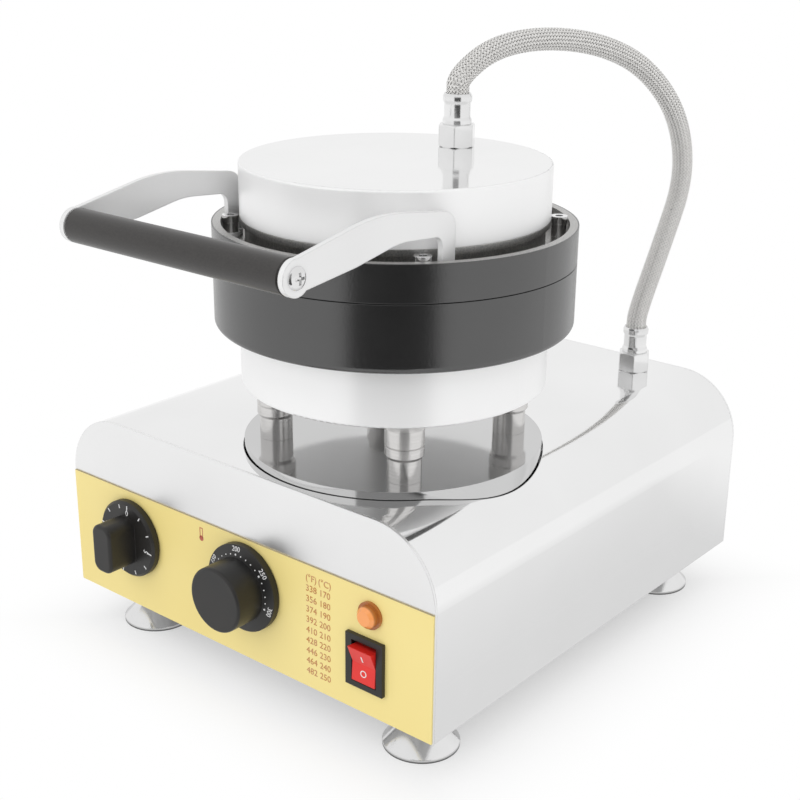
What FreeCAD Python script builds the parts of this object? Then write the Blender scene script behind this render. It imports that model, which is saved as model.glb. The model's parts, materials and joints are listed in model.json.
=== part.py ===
import FreeCAD, Part
import math
import os
import re
import Sketcher

# Waffle cone maker: a polished sheet-metal base on four bell feet, a drum set into its top, four pillars
# that carry a round two-plate baking head with a hinged lid, and a braided hose for the lid's heater leads.
# Millimetres, +Z up, +X to the right of a person at the controls, +Y to the rear, floor at Z = 0.

doc = FreeCAD.newDocument("WaffleConeMaker")
sheet = doc.addObject("Spreadsheet::Sheet", "Sizes")

SIZES = {
    # Casing
    "base_width": 283.0,
    "base_depth": 316.0,
    "panel_height": 75.0,
    "shoulder_radius": 40.0,
    "casing_sheet": 1.2,
    "casing_lip": 14.0,
    "plate_sheet": 1.5,
    "panel_sheet": 0.8,
    "panel_margin": 0.4,
    "floor_sheet": 1.2,
    "floor_inset": 3.0,
    "vent_length": 46.0,
    "vent_width": 4.0,
    "vent_pitch": 11.0,
    # Feet
    "foot_height": 27.0,
    "foot_radius": 21.5,
    "foot_edge": 2.0,
    "foot_neck_radius": 10.0,
    "foot_neck_height": 14.0,
    "foot_side": 33.0,
    "foot_end": 32.0,
    "stud_radius": 3.0,
    "stud_length": 12.0,
    # Screws and their holes
    "screw_radius": 2.0,
    "screw_length": 8.0,
    "screw_head_radius": 3.6,
    "screw_head_height": 2.2,
    "hole_clearance": 0.15,
    "bolt_head_radius": 5.5,
    "bolt_head_height": 4.0,
    # Drum and its inner bridge
    "head_right": 38.5,
    "head_back": 89.5,
    "drum_radius": 85.0,
    "drum_lift": 4.5,
    "drum_skirt": 20.0,
    "drum_wall": 1.5,
    "drum_top": 3.0,
    "drum_gap": 0.8,
    "bridge_sheet": 2.5,
    "bridge_width": 120.0,
    "bridge_depth": 112.0,
    "bridge_foot": 18.0,
    # Pillars
    "pillar_spread": 47.2,
    "pillar_height": 35.4,
    "pillar_radius": 9.3,
    "pillar_belly": 10.6,
    "pillar_groove": 0.5,
    "pillar_foot_height": 12.8,
    "pillar_taper": 1.8,
    "pillar_groove_rise": 19.9,
    "pillar_groove_half": 0.4,
    "pillar_shoulder": 2.9,
    "pillar_collar": 2.9,
    # Lower half of the baking head
    "cup_radius": 85.6,
    "cup_height": 33.4,
    "cup_wall": 1.2,
    "cup_floor": 2.0,
    "ring_radius": 99.4,
    "ring_skirt": 15.7,
    "ring_edge": 3.5,
    "lower_plate_height": 36.1,
    "plate_thickness": 14.0,
    "plate_gap": 0.5,
    # Baking faces
    "baking_radius": 87.6,
    "groove_pitch": 14.0,
    "groove_width": 3.0,
    "groove_depth": 1.6,
    # Heaters
    "heater_radius": 54.0,
    "heater_tube": 4.2,
    "heater_lead": 14.0,
    "clamp_radius": 70.0,
    "clamp_thickness": 3.0,
    "insulation_radius": 78.0,
    "insulation_thickness": 12.0,
    "notch_over": 1.0,
    "centre_bolt_radius": 4.0,
    "bulb_radius": 3.2,
    "bulb_length": 60.0,
    "bulb_back": 24.0,
    # Upper half of the baking head
    "upper_plate_height": 19.7,
    "upper_floor": 11.0,
    "rim_wall": 5.0,
    "trough_depth": 10.7,
    "boss_radius": 81.6,
    "boss_wall": 6.0,
    "cover_lift": 3.5,
    "cover_radius": 84.3,
    "cover_height": 29.0,
    "cover_wall": 1.2,
    "cover_fit": 0.1,
    "spigot_height": 7.0,
    "standoff_circle": 89.3,
    "standoff_side": 67.0,
    "standoff_radius": 4.2,
    "standoff_height": 5.5,
    "standoff_head": 4.0,
    "standoff_head_radius": 4.6,
    # Hinge
    "hinge_offset": 15.0,
    "hinge_rise": 4.0,
    "hinge_pin_radius": 4.0,
    "hinge_pin_head": 5.8,
    "hinge_pin_end": 2.0,
    "hinge_pin_fit": 0.05,
    "hinge_knuckle_radius": 8.5,
    "hinge_arm_width": 20.0,
    "hinge_ear_width": 11.0,
    "hinge_side_gap": 0.5,
    "hinge_under_gap": 1.0,
    "hinge_block_height": 22.0,
    "hinge_flange_width": 68.0,
    "hinge_flange_height": 12.0,
    "hinge_flange": 4.0,
    "hinge_bolt_depth": 8.0,
    "bolt_end_gap": 0.5,
    "lower_bolt_side": 14.0,
    "lower_bolt_drop": 13.0,
    "upper_bolt_side": 28.0,
    "upper_bolt_rise": 5.0,
    # Handle
    "handle_half_width": 74.3,
    "bracket_thickness": 3.0,
    "bracket_end_radius": 8.7,
    "bracket_join": 0.97,
    "bracket_top_angle": 110.0,
    "bracket_under_angle": -51.0,
    "leg_front": 55.1,
    "leg_width": 10.0,
    "arch_rise": 30.5,
    "arch_height": 16.0,
    "arch_crown": 101.4,
    "arch_inner_crown": 86.6,
    "arch_shoulder": 22.5,
    "arch_toe": 8.8,
    "arch_curve": 108.0,
    "shoulder_curve": 9.0,
    "armpit_curve": 5.5,
    "lug_radius": 4.9,
    "lug_web": 5.0,
    "handle_reach": 156.0,
    "handle_rise": 11.5,
    "grip_radius": 8.75,
    "grip_edge": 1.2,
    "grip_end_gap": 0.2,
    "rod_radius": 4.0,
    "rod_screw_depth": 10.0,
    # Hose and its fittings
    "hose_radius": 6.5,
    "hose_side_inset": 64.8,
    "hose_end_inset": 24.4,
    "hose_cover_back": 53.1,
    "nut_flats": 19.0,
    "nut_height": 12.5,
    "nipple_radius": 6.0,
    "nipple_bore": 4.0,
    "nipple_tail": 9.0,
    "locknut_height": 4.0,
    "ferrule_radius": 7.4,
    "ferrule_bead": 8.2,
    "ferrule_length": 17.0,
    "hose_inset": 8.0,
    "ferrule_bead_height": 2.4,
    "ferrule_taper": 1.6,
    # Timer
    "timer_inset": 53.0,
    "timer_rise": 46.0,
    "timer_radius": 24.0,
    "timer_skirt": 5.0,
    "timer_bevel": 1.5,
    "timer_bar_width": 16.0,
    "timer_bar_length": 30.0,
    "timer_bar_height": 19.0,
    "timer_bar_round": 6.0,
    "timer_bar_edge": 2.0,
    "timer_case": 48.0,
    "timer_case_depth": 32.0,
    # Thermostat
    "thermostat_side": 8.0,
    "thermostat_rise": 46.5,
    "thermostat_skirt_radius": 26.0,
    "thermostat_skirt": 4.0,
    "thermostat_cap_radius": 19.0,
    "thermostat_cap_height": 20.0,
    "thermostat_cap_edge": 1.6,
    "thermostat_case_radius": 21.0,
    "thermostat_case_depth": 28.0,
    # Shafts of both dials
    "shaft_radius": 3.0,
    "shaft_fit": 0.05,
    "shaft_inside": 16.0,
    "shaft_in_knob": 11.0,
    "bush_radius": 5.0,
    "knob_gap": 0.6,
    # Rocker switch
    "rocker_inset": 44.5,
    "rocker_rise": 31.5,
    "bezel_width": 25.5,
    "bezel_height": 31.0,
    "bezel_depth": 2.4,
    "switch_width": 22.0,
    "switch_height": 27.5,
    "switch_depth": 22.0,
    "rocker_width": 16.0,
    "rocker_half_height": 10.8,
    "rocker_front": 5.5,
    "rocker_dip": 2.4,
    "rocker_back": 4.0,
    "rocker_gap": 1.4,
    "rocker_side_gap": 0.5,
    "rocker_pivot": 1.0,
    "rocker_back_taper": 2.5,
    "rocker_pin_radius": 1.5,
    "rocker_pin_reach": 1.5,
    "rocker_pin_fit": 0.05,
    "rocker_tilt": 9.0,
    # Lamp
    "lamp_inset": 41.5,
    "lamp_rise": 61.0,
    "lamp_flange_radius": 7.75,
    "lamp_flange": 1.6,
    "lamp_dome_radius": 6.2,
    "lamp_dome": 4.5,
    "lamp_stem_radius": 5.6,
    "lamp_stem": 9.0,
    "lamp_body_radius": 7.4,
    "lamp_body_depth": 24.0,
    "lamp_edge": 2.0,
    # Cable gland at the rear
    "gland_inset": 46.5,
    "gland_rise": 30.0,
    "gland_reach": 16.0,
    "gland_radius": 10.5,
    "gland_thread_radius": 8.0,
    "gland_bore": 4.5,
    "gland_lip": 0.9,
    "gland_nut_height": 5.0,
    "gland_flange": 7.0,
}

for row, (alias, amount) in enumerate(SIZES.items(), start=1):
    sheet.set("A%d" % row, alias)
    sheet.set("B%d" % row, str(amount))
    sheet.setAlias("B%d" % row, alias)
doc.recompute()

# Levels and places, as sums of the sizes above
CASING_BOTTOM = "(foot_height + floor_sheet)"
CASING_HEIGHT = "(panel_height + shoulder_radius)"
CASING_TOP = "(%s + %s)" % (CASING_BOTTOM, CASING_HEIGHT)
DRUM_TOP = "(%s + drum_lift)" % CASING_TOP
CUP_BOTTOM = "(%s + pillar_height)" % DRUM_TOP
LOWER_BOTTOM = "(%s + cup_height)" % CUP_BOTTOM
SPLIT = "(%s + lower_plate_height)" % LOWER_BOTTOM
UPPER_BOTTOM = "(%s + plate_gap)" % SPLIT
RIM_TOP = "(%s + upper_plate_height)" % UPPER_BOTTOM
TROUGH = "(%s - trough_depth)" % RIM_TOP
COVER_BOTTOM = "(%s + cover_lift)" % RIM_TOP
COVER_TOP = "(%s + cover_height)" % COVER_BOTTOM
FRONT = "((handle_reach + grip_radius - head_back - base_depth - gland_reach) / 2)"
REAR = "(%s + base_depth)" % FRONT
PANEL_FACE = "(%s - panel_sheet)" % FRONT
HEAD_X = "head_right"
HEAD_Y = "(%s + head_back)" % FRONT
HINGE_Y = "(%s + ring_radius + hinge_offset)" % HEAD_Y
HINGE_Z = "(%s + hinge_rise)" % UPPER_BOTTOM
STANDOFF_Y = "sqrt(standoff_circle ^ 2 - standoff_side ^ 2)"
FOOT_X = "(base_width / 2 - foot_side)"
LIP_X = "(base_width / 2 - casing_lip / 2)"
FLANGE_X = "(bridge_width / 2 - bridge_foot / 2)"
UNDER_PLATE = "(%s - plate_thickness)" % SPLIT

TIMER_X = "(timer_inset - base_width / 2)"
ROCKER_X = "(base_width / 2 - rocker_inset)"
LAMP_X = "(base_width / 2 - lamp_inset)"
GLAND_X = "(gland_inset - base_width / 2)"
HOSE_X = "(base_width / 2 - hose_side_inset)"
HOSE_BACK = "(base_depth - hose_end_inset)"

TURN_TO_FRONT = FreeCAD.Rotation(FreeCAD.Vector(1, 0, 0), 90)
TURN_TO_REAR = FreeCAD.Rotation(FreeCAD.Vector(1, 0, 0), -90)
TURN_TO_RIGHT = FreeCAD.Rotation(FreeCAD.Vector(0, 1, 0), 90)
TURN_TO_LEFT = FreeCAD.Rotation(FreeCAD.Vector(0, 1, 0), -90)
UPRIGHT = FreeCAD.Rotation()

VENT_COUNT = 9
HEATER_OPENING = 24.0
# How near an edge has to be to a wanted place, in millimetres
EDGE_TOLERANCE = 0.01

nodes = []
cuts = []


def bind(text):
    """Expression text with each size name pointing at its spreadsheet cell."""
    return re.sub(r"[a-z_]+", lambda word: "Sizes." + word[0] if word[0] in SIZES else word[0], text)


def size(alias):
    """Value of one spreadsheet cell."""
    return float(sheet.get(alias))


def place(item, x="0", y="0", z="0", turn=UPRIGHT):
    """Set an object's turn and bind its position."""
    item.Placement = FreeCAD.Placement(FreeCAD.Vector(), turn)
    for axis, text in zip("xyz", (x, y, z)):
        item.setExpression("Placement.Base." + axis, bind(text))
    return item


def node(item, label):
    """Register an object as a named sub-part."""
    item.Label = label
    nodes.append(item)
    return item


def new_body(name):
    return doc.addObject("PartDesign::Body", name)


def sketch_on(body, role, offset=None):
    """New sketch on one of the body's own origin planes, or a bound distance along its normal."""
    plane = next(item for item in body.Origin.OriginFeatures if item.Role == role)
    sketch = body.newObject("Sketcher::SketchObject", body.Name + "_sketch")
    sketch.AttachmentSupport = (plane, [""])
    sketch.MapMode = "FlatFace"
    if offset is not None:
        sketch.setExpression("AttachmentOffset.Base.z", bind(offset))
    return sketch


def pin(sketch, geometry, point, across, up, drawn_at=(1.0, 1.0)):
    """Hold one point of a sketch at a bound distance from the sketch's origin."""
    for kind, text, start in (("DistanceX", across, drawn_at[0]), ("DistanceY", up, drawn_at[1])):
        index = sketch.addConstraint(Sketcher.Constraint(kind, -1, 1, geometry, point, start))
        sketch.setExpression("Constraints[%d]" % index, bind(text))


def polygon(sketch, corners):
    """Closed outline of straight lines through bound corners."""
    count = len(corners)
    spots = []
    for index in range(count):
        angle = 2 * math.pi * index / count
        spots.append(FreeCAD.Vector(math.cos(angle), math.sin(angle), 0))
    lines = []
    for index in range(count):
        line = Part.LineSegment(spots[index], spots[(index + 1) % count])
        lines.append(sketch.addGeometry(line))
    for index in range(count):
        following = lines[(index + 1) % count]
        sketch.addConstraint(Sketcher.Constraint("Coincident", lines[index], 2, following, 1))
    for line, (across, up) in zip(lines, corners):
        pin(sketch, line, 1, across, up)


def rectangle(sketch, left, bottom, right, top):
    polygon(sketch, [(left, bottom), (right, bottom), (right, top), (left, top)])


def circle(sketch, across, up, radius):
    """Bound circle."""
    ring = sketch.addGeometry(Part.Circle(FreeCAD.Vector(), FreeCAD.Vector(0, 0, 1), 1.0))
    index = sketch.addConstraint(Sketcher.Constraint("Radius", ring, 1.0))
    sketch.setExpression("Constraints[%d]" % index, bind(radius))
    pin(sketch, ring, 3, across, up)


def pad(body, sketch, length, backwards=False):
    """Extrude a sketch; backwards runs against the sketch's normal."""
    feature = body.newObject("PartDesign::Pad", body.Name + "_pad")
    feature.Profile = sketch
    feature.Reversed = backwards
    feature.setExpression("Length", bind(length))
    doc.recompute()
    return feature


def pocket(body, sketch, length=None, forwards=False):
    """Cut a sketch's outline out of a body; forwards runs along the sketch's normal."""
    before = body.Tip
    feature = body.newObject("PartDesign::Pocket", body.Name + "_pocket")
    feature.Profile = sketch
    feature.Reversed = forwards
    if length is None:
        feature.Type = "ThroughAll"
    else:
        feature.setExpression("Length", bind(length))
    doc.recompute()
    cuts.append((before, feature))
    return feature


def fillet(body, wanted, radius):
    """Round the edges of a body's last feature for which wanted(edge) is true."""
    base = body.Tip
    names = ["Edge%d" % (i + 1) for i, edge in enumerate(base.Shape.Edges) if wanted(edge)]
    feature = body.newObject("PartDesign::Fillet", body.Name + "_fillet")
    feature.Base = (base, names)
    feature.setExpression("Radius", bind(radius))
    doc.recompute()
    return feature


def turned(name, profile):
    """Body of revolution about Z through bound (radius, height) corners."""
    body = new_body(name)
    sketch = sketch_on(body, "XZ_Plane")
    polygon(sketch, profile)
    feature = body.newObject("PartDesign::Revolution", name + "_turn")
    feature.Profile = sketch
    feature.ReferenceAxis = (sketch, ["V_Axis"])
    feature.Angle = 360.0
    doc.recompute()
    return body


def box(name, length, width, height):
    item = doc.addObject("Part::Box", name)
    for side, text in (("Length", length), ("Width", width), ("Height", height)):
        item.setExpression(side, bind(text))
    return item


def cylinder(name, radius, height):
    item = doc.addObject("Part::Cylinder", name)
    item.setExpression("Radius", bind(radius))
    item.setExpression("Height", bind(height))
    return item


def hexagon(name, flats, height):
    item = doc.addObject("Part::Prism", name)
    item.Polygon = 6
    item.setExpression("Circumradius", bind(flats) + " / sqrt(3)")
    item.setExpression("Height", bind(height))
    return item


def fuse(name, items):
    item = doc.addObject("Part::MultiFuse", name)
    item.Shapes = items
    return item


def cut(name, base, tool):
    item = doc.addObject("Part::Cut", name)
    item.Base = base
    item.Tool = tool
    return item


def group(name, items):
    """Several separate solids kept in one sub-part."""
    item = doc.addObject("Part::Compound", name)
    item.Links = items
    return item


def level_edge(height, radius):
    """Test for a round edge at one height and radius of a turned body."""
    def wanted(edge):
        if not isinstance(edge.Curve, Part.Circle):
            return False
        right_size = abs(edge.Curve.Radius - radius) < EDGE_TOLERANCE
        return right_size and abs(edge.Curve.Center.z - height) < EDGE_TOLERANCE
    return wanted


def corners_of(x, y):
    """The four places at plus and minus x and y, with names."""
    for side, sign_x in (("left", "-"), ("right", "")):
        for end, sign_y in (("front", "-"), ("rear", "")):
            yield "%s_%s" % (end, side), sign_x + x, sign_y + y


# Casing: wrap-over top and sides, end plates, yellow control panel and floor
def arch(sketch, inset="0"):
    """Casing outline, square below with round shoulders above, moved inwards by an inset."""
    inward = size(inset) if inset in SIZES else 0.0
    half = size("base_width") / 2 - inward
    shoulder = size("panel_height")
    round_radius = size("shoulder_radius") - inward
    half_text = "(base_width / 2 - %s)" % inset
    flat_text = "(base_width / 2 - shoulder_radius)"
    top_text = "(%s - %s)" % (CASING_HEIGHT, inset)
    top = shoulder + round_radius
    flat = half - round_radius
    ends = [
        ((-half, inward), ("-" + half_text, inset), (half, inward), (half_text, inset)),
        ((half, inward), (half_text, inset), (half, shoulder), (half_text, "panel_height")),
        ((flat, top), (flat_text, top_text), (-flat, top), ("-" + flat_text, top_text)),
        ((-half, shoulder), ("-" + half_text, "panel_height"), (-half, inward), ("-" + half_text, inset)),
    ]
    lines = []
    for start, start_text, stop, stop_text in ends:
        line = sketch.addGeometry(Part.LineSegment(FreeCAD.Vector(*start, 0), FreeCAD.Vector(*stop, 0)))
        pin(sketch, line, 1, *start_text, drawn_at=start)
        pin(sketch, line, 2, *stop_text, drawn_at=stop)
        lines.append(line)
    normal = FreeCAD.Vector(0, 0, 1)
    for middle, first_angle, before, after in ((flat, 0.0, lines[1], lines[2]),
                                               (-flat, math.pi / 2, lines[2], lines[3])):
        whole = Part.Circle(FreeCAD.Vector(middle, shoulder, 0), normal, round_radius)
        bend = sketch.addGeometry(Part.ArcOfCircle(whole, first_angle, first_angle + math.pi / 2))
        sketch.addConstraint(Sketcher.Constraint("Coincident", bend, 1, before, 2))
        sketch.addConstraint(Sketcher.Constraint("Coincident", bend, 2, after, 1))
        index = sketch.addConstraint(Sketcher.Constraint("Radius", bend, round_radius))
        sketch.setExpression("Constraints[%d]" % index, bind("shoulder_radius - " + inset))


def arch_plate(name, length):
    """Solid with the casing's end outline."""
    body = new_body(name)
    sketch = sketch_on(body, "XZ_Plane")
    arch(sketch)
    pad(body, sketch, length, backwards=True)
    return body


def casing_wrap():
    body = arch_plate("casing_wrap", "base_depth - 2 * plate_sheet")
    inner = sketch_on(body, "XZ_Plane")
    arch(inner, "casing_sheet")
    pocket(body, inner)
    bottom = sketch_on(body, "XY_Plane")
    lip_edge = "(base_width / 2 - casing_lip)"
    rectangle(bottom, "-" + lip_edge, "0", lip_edge, "base_depth - 2 * plate_sheet")
    for side in ("-", ""):
        for back in lip_screw_rows():
            circle(bottom, side + LIP_X, back + " - plate_sheet", "screw_radius + hole_clearance")
    pocket(body, bottom, "casing_sheet", forwards=True)
    top = sketch_on(body, "XY_Plane")
    circle(top, "head_right", "head_back - plate_sheet", "drum_radius + drum_gap")
    circle(top, HOSE_X, HOSE_BACK + " - plate_sheet", "nipple_radius + hole_clearance")
    pocket(body, top, forwards=True)
    place(body, y=FRONT + " + plate_sheet", z=CASING_BOTTOM)
    return node(body, "casing_wrap")


def lip_screw_rows():
    """Distances of the lip screws behind the front face."""
    return ("base_depth / 6", "base_depth / 2", "base_depth * 5 / 6")


def control_holes(body):
    """Holes for the two dial bushes, the lamp and the rocker switch."""
    sketch = sketch_on(body, "XZ_Plane")
    bush = "bush_radius + hole_clearance"
    circle(sketch, TIMER_X, "timer_rise", bush)
    circle(sketch, "thermostat_side", "thermostat_rise", bush)
    circle(sketch, LAMP_X, "lamp_rise", "lamp_stem_radius + hole_clearance")
    half_width = "(switch_width / 2 + hole_clearance)"
    half_height = "(switch_height / 2 + hole_clearance)"
    rectangle(sketch, "%s - %s" % (ROCKER_X, half_width), "rocker_rise - " + half_height,
              "%s + %s" % (ROCKER_X, half_width), "rocker_rise + " + half_height)
    return sketch


def front_plate():
    body = arch_plate("front_plate", "plate_sheet")
    pocket(body, control_holes(body))
    place(body, y=FRONT, z=CASING_BOTTOM)
    return node(body, "front_plate")


def control_panel():
    body = new_body("control_panel")
    sketch = sketch_on(body, "XZ_Plane")
    half = "(base_width / 2 - panel_margin)"
    rectangle(sketch, "-" + half, "panel_margin", half, "panel_height")
    pad(body, sketch, "panel_sheet")
    pocket(body, control_holes(body), forwards=True)
    place(body, y=FRONT, z=CASING_BOTTOM)
    return node(body, "control_panel")


def vents(body, sketch_role, middle_x, middle_y, forwards):
    """Row of straight slots about a middle place, cut right through."""
    sketch = sketch_on(body, sketch_role)
    for index in range(VENT_COUNT):
        across = "%s + vent_pitch * %s" % (middle_x, index - (VENT_COUNT - 1) / 2)
        rectangle(sketch, across + " - vent_width / 2", middle_y + " - vent_length / 2",
                  across + " + vent_width / 2", middle_y + " + vent_length / 2")
    pocket(body, sketch, forwards=forwards)


def rear_plate():
    body = arch_plate("rear_plate", "plate_sheet")
    hole = sketch_on(body, "XZ_Plane")
    circle(hole, GLAND_X, "gland_rise", "gland_thread_radius + hole_clearance")
    pocket(body, hole)
    vents(body, "XZ_Plane", "0", CASING_HEIGHT + " / 2", forwards=False)
    place(body, y=REAR + " - plate_sheet", z=CASING_BOTTOM)
    return node(body, "rear_plate")


def floor_plate():
    body = new_body("floor_plate")
    sketch = sketch_on(body, "XY_Plane")
    half = "(base_width / 2 - floor_inset)"
    rectangle(sketch, "-" + half, "floor_inset", half, "base_depth - floor_inset")
    pad(body, sketch, "floor_sheet")
    holes = sketch_on(body, "XY_Plane")
    for side in ("-", ""):
        for back in lip_screw_rows():
            circle(holes, side + LIP_X, back, "screw_radius + hole_clearance")
        for back in ("foot_end", "base_depth - foot_end"):
            circle(holes, side + FOOT_X, back, "stud_radius + hole_clearance")
    for side in ("-", "+"):
        for end in ("-", "+"):
            across = "head_right %s %s" % (side, FLANGE_X)
            circle(holes, across, "head_back %s bridge_depth / 3" % end, "screw_radius + hole_clearance")
    pocket(body, holes, forwards=True)
    vents(body, "XY_Plane", "0", "base_depth * 3 / 4", forwards=True)
    place(body, y=FRONT, z="foot_height")
    return node(body, "floor_plate")


def screw(name, radius, length, head_radius, head_height):
    """Plain screw, head below Z = 0 and shank above."""
    profile = [("0", "-" + head_height), (head_radius, "-" + head_height), (head_radius, "0"),
               (radius, "0"), (radius, length), ("0", length)]
    return turned(name, profile)


def floor_screws():
    screws = []
    spots = []
    for side in ("-", ""):
        for back in lip_screw_rows():
            spots.append((side + LIP_X, back))
    for side in ("-", "+"):
        for end in ("-", "+"):
            spots.append(("head_right %s %s" % (side, FLANGE_X), "head_back %s bridge_depth / 3" % end))
    for index, (x, back) in enumerate(spots):
        item = screw("floor_screw_%d" % index, "screw_radius", "screw_length",
                     "screw_head_radius", "screw_head_height")
        screws.append(place(item, x, FRONT + " + " + back, "foot_height"))
    return node(group("floor_screws", screws), "floor_screws")


# Feet: chromed bells with a stud that holds them to the floor plate
def feet():
    studs = []
    middle_y = "(%s + base_depth / 2)" % FRONT
    for name, x, end in corners_of(FOOT_X, "(base_depth / 2 - foot_end)"):
        stud_hole = "stud_radius + hole_clearance"
        profile = [("0", "0"), ("foot_radius", "0"), ("foot_radius", "foot_edge"),
                   ("foot_neck_radius", "foot_neck_height"), ("foot_neck_radius", "foot_height"),
                   (stud_hole, "foot_height"), (stud_hole, "foot_height - stud_length"),
                   ("0", "foot_height - stud_length")]
        foot = turned("foot_" + name, profile)
        spot_y = middle_y + " + " + end if not end.startswith("-") else middle_y + " " + end
        place(foot, x, spot_y)
        node(foot, "foot_" + name)
        stud = screw("foot_stud_" + name, "stud_radius", "stud_length + floor_sheet",
                     "bolt_head_radius", "bolt_head_height")
        upside_down = FreeCAD.Rotation(FreeCAD.Vector(1, 0, 0), 180)
        studs.append(place(stud, x, spot_y, "foot_height + floor_sheet", upside_down))
    node(group("foot_studs", studs), "foot_studs")


# Drum set into the top, and the bridge that carries it inside the casing
def bolt_circles(body, radius):
    sketch = sketch_on(body, "XY_Plane")
    for name, x, y in corners_of("pillar_spread", "pillar_spread"):
        circle(sketch, x, y, radius)
    return sketch


def drum_pedestal():
    height = "(drum_skirt + drum_lift)"
    inner = "drum_radius - drum_wall"
    profile = [("0", height + " - drum_top"), (inner, height + " - drum_top"), (inner, "0"),
               ("drum_radius", "0"), ("drum_radius", height), ("0", height)]
    body = turned("drum_pedestal", profile)
    pocket(body, bolt_circles(body, "stud_radius + hole_clearance"), forwards=True)
    place(body, HEAD_X, HEAD_Y, CASING_TOP + " - drum_skirt")
    return node(body, "drum_pedestal")


def support_bridge():
    body = new_body("support_bridge")
    top = "(%s - drum_top - %s)" % (DRUM_TOP, CASING_BOTTOM)
    outer = "bridge_width / 2"
    inner = "bridge_width / 2 - bridge_sheet"
    foot = "bridge_width / 2 - bridge_foot"
    right = [(outer, "0"), (outer, top)]
    under = [(inner, top + " - bridge_sheet"), (inner, "bridge_sheet"), (foot, "bridge_sheet"), (foot, "0")]
    left = [("-(%s)" % x, z) for x, z in reversed(right)]
    left_under = [("-(%s)" % x, z) for x, z in reversed(under)]
    sketch = sketch_on(body, "XZ_Plane")
    polygon(sketch, right + left + left_under + under)
    pad(body, sketch, "bridge_depth", backwards=True)
    holes = sketch_on(body, "XY_Plane")
    for name, x, y in corners_of("pillar_spread", "pillar_spread"):
        circle(holes, x, "bridge_depth / 2 + " + y, "stud_radius + hole_clearance")
    for side in ("-", ""):
        for end in ("-", "+"):
            circle(holes, side + FLANGE_X, "bridge_depth / 2 %s bridge_depth / 3" % end,
                   "screw_radius + hole_clearance")
        # Room for the feet's studs, which reach the bridge only in a narrower base
        for back in ("foot_end", "(base_depth - foot_end)"):
            circle(holes, "%s%s - %s" % (side, FOOT_X, HEAD_X), back + " - head_back + bridge_depth / 2",
                   "bolt_head_radius + hole_clearance")
    pocket(body, holes, forwards=True)
    place(body, HEAD_X, HEAD_Y + " - bridge_depth / 2", CASING_BOTTOM)
    return node(body, "support_bridge")


# Pillars between the drum and the head, with their long bolts and nuts
def pillars():
    fasteners = []
    bore = "stud_radius + hole_clearance"
    grip_length = "bridge_sheet + drum_top + pillar_height + cup_floor"
    bolt_length = grip_length + " + bolt_head_height + bolt_end_gap"
    for name, x, y in corners_of("pillar_spread", "pillar_spread"):
        collar = "pillar_height - pillar_collar"
        profile = [(bore, "0"), ("pillar_radius", "0"), ("pillar_radius", "pillar_foot_height"),
                   ("pillar_belly", "pillar_foot_height + pillar_taper"),
                   ("pillar_belly", "pillar_groove_rise - pillar_groove_half"),
                   ("pillar_belly - pillar_groove", "pillar_groove_rise"),
                   ("pillar_belly", "pillar_groove_rise + pillar_groove_half"),
                   ("pillar_belly", collar + " - pillar_shoulder"), ("pillar_radius", collar),
                   ("pillar_radius", "pillar_height"), (bore, "pillar_height")]
        pillar = turned("pillar_" + name, profile)
        spot_x = "%s + %s" % (HEAD_X, x)
        spot_y = "%s + %s" % (HEAD_Y, y)
        place(pillar, spot_x, spot_y, DRUM_TOP)
        node(pillar, "pillar_" + name)
        bolt = screw("pillar_bolt_" + name, "stud_radius", bolt_length, "bolt_head_radius",
                     "bolt_head_height")
        fasteners.append(place(bolt, spot_x, spot_y, DRUM_TOP + " - drum_top - bridge_sheet"))
        nut = turned("pillar_nut_" + name, [(bore, "0"), ("bolt_head_radius", "0"),
                                            ("bolt_head_radius", "bolt_head_height"),
                                            (bore, "bolt_head_height")])
        fasteners.append(place(nut, spot_x, spot_y, CUP_BOTTOM + " + cup_floor"))
    node(group("pillar_fasteners", fasteners), "pillar_fasteners")


# Baking head, lower half
def waffle_grooves(body, level, forwards):
    """Crossed grooves inside the baking circle, cut from a level face."""
    count = int(size("baking_radius") / size("groove_pitch"))
    for crosswise in (False, True):
        sketch = sketch_on(body, "XY_Plane", level)
        for index in range(-count, count + 1):
            middle = "groove_pitch * %d" % index
            low = middle + " - groove_width / 2"
            high = middle + " + groove_width / 2"
            reach = "sqrt(baking_radius ^ 2 - (%s) ^ 2)" % middle
            if crosswise:
                rectangle(sketch, low, "-" + reach, high, reach)
            else:
                rectangle(sketch, "-" + reach, low, reach, high)
        pocket(body, sketch, "groove_depth", forwards)


def lower_cup():
    inner = "cup_radius - cup_wall"
    profile = [("0", "0"), ("cup_radius", "0"), ("cup_radius", "cup_height"), (inner, "cup_height"),
               (inner, "cup_floor"), ("0", "cup_floor")]
    body = turned("lower_cup", profile)
    fillet(body, level_edge(0.0, size("cup_radius")), "cup_wall")
    pocket(body, bolt_circles(body, "stud_radius + hole_clearance"), forwards=True)
    place(body, HEAD_X, HEAD_Y, CUP_BOTTOM)
    return node(body, "lower_cup")


def hinge_bolt_holes(body, level, side):
    """Two blind holes in the rear of a ring for the hinge bolts."""
    sketch = sketch_on(body, "XZ_Plane", "-ring_radius")
    for sign in ("-", ""):
        circle(sketch, sign + side, level, "stud_radius + hole_clearance")
    reach = "ring_radius - sqrt(ring_radius ^ 2 - %s ^ 2) + hinge_bolt_depth" % side
    pocket(body, sketch, reach, forwards=True)


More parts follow.
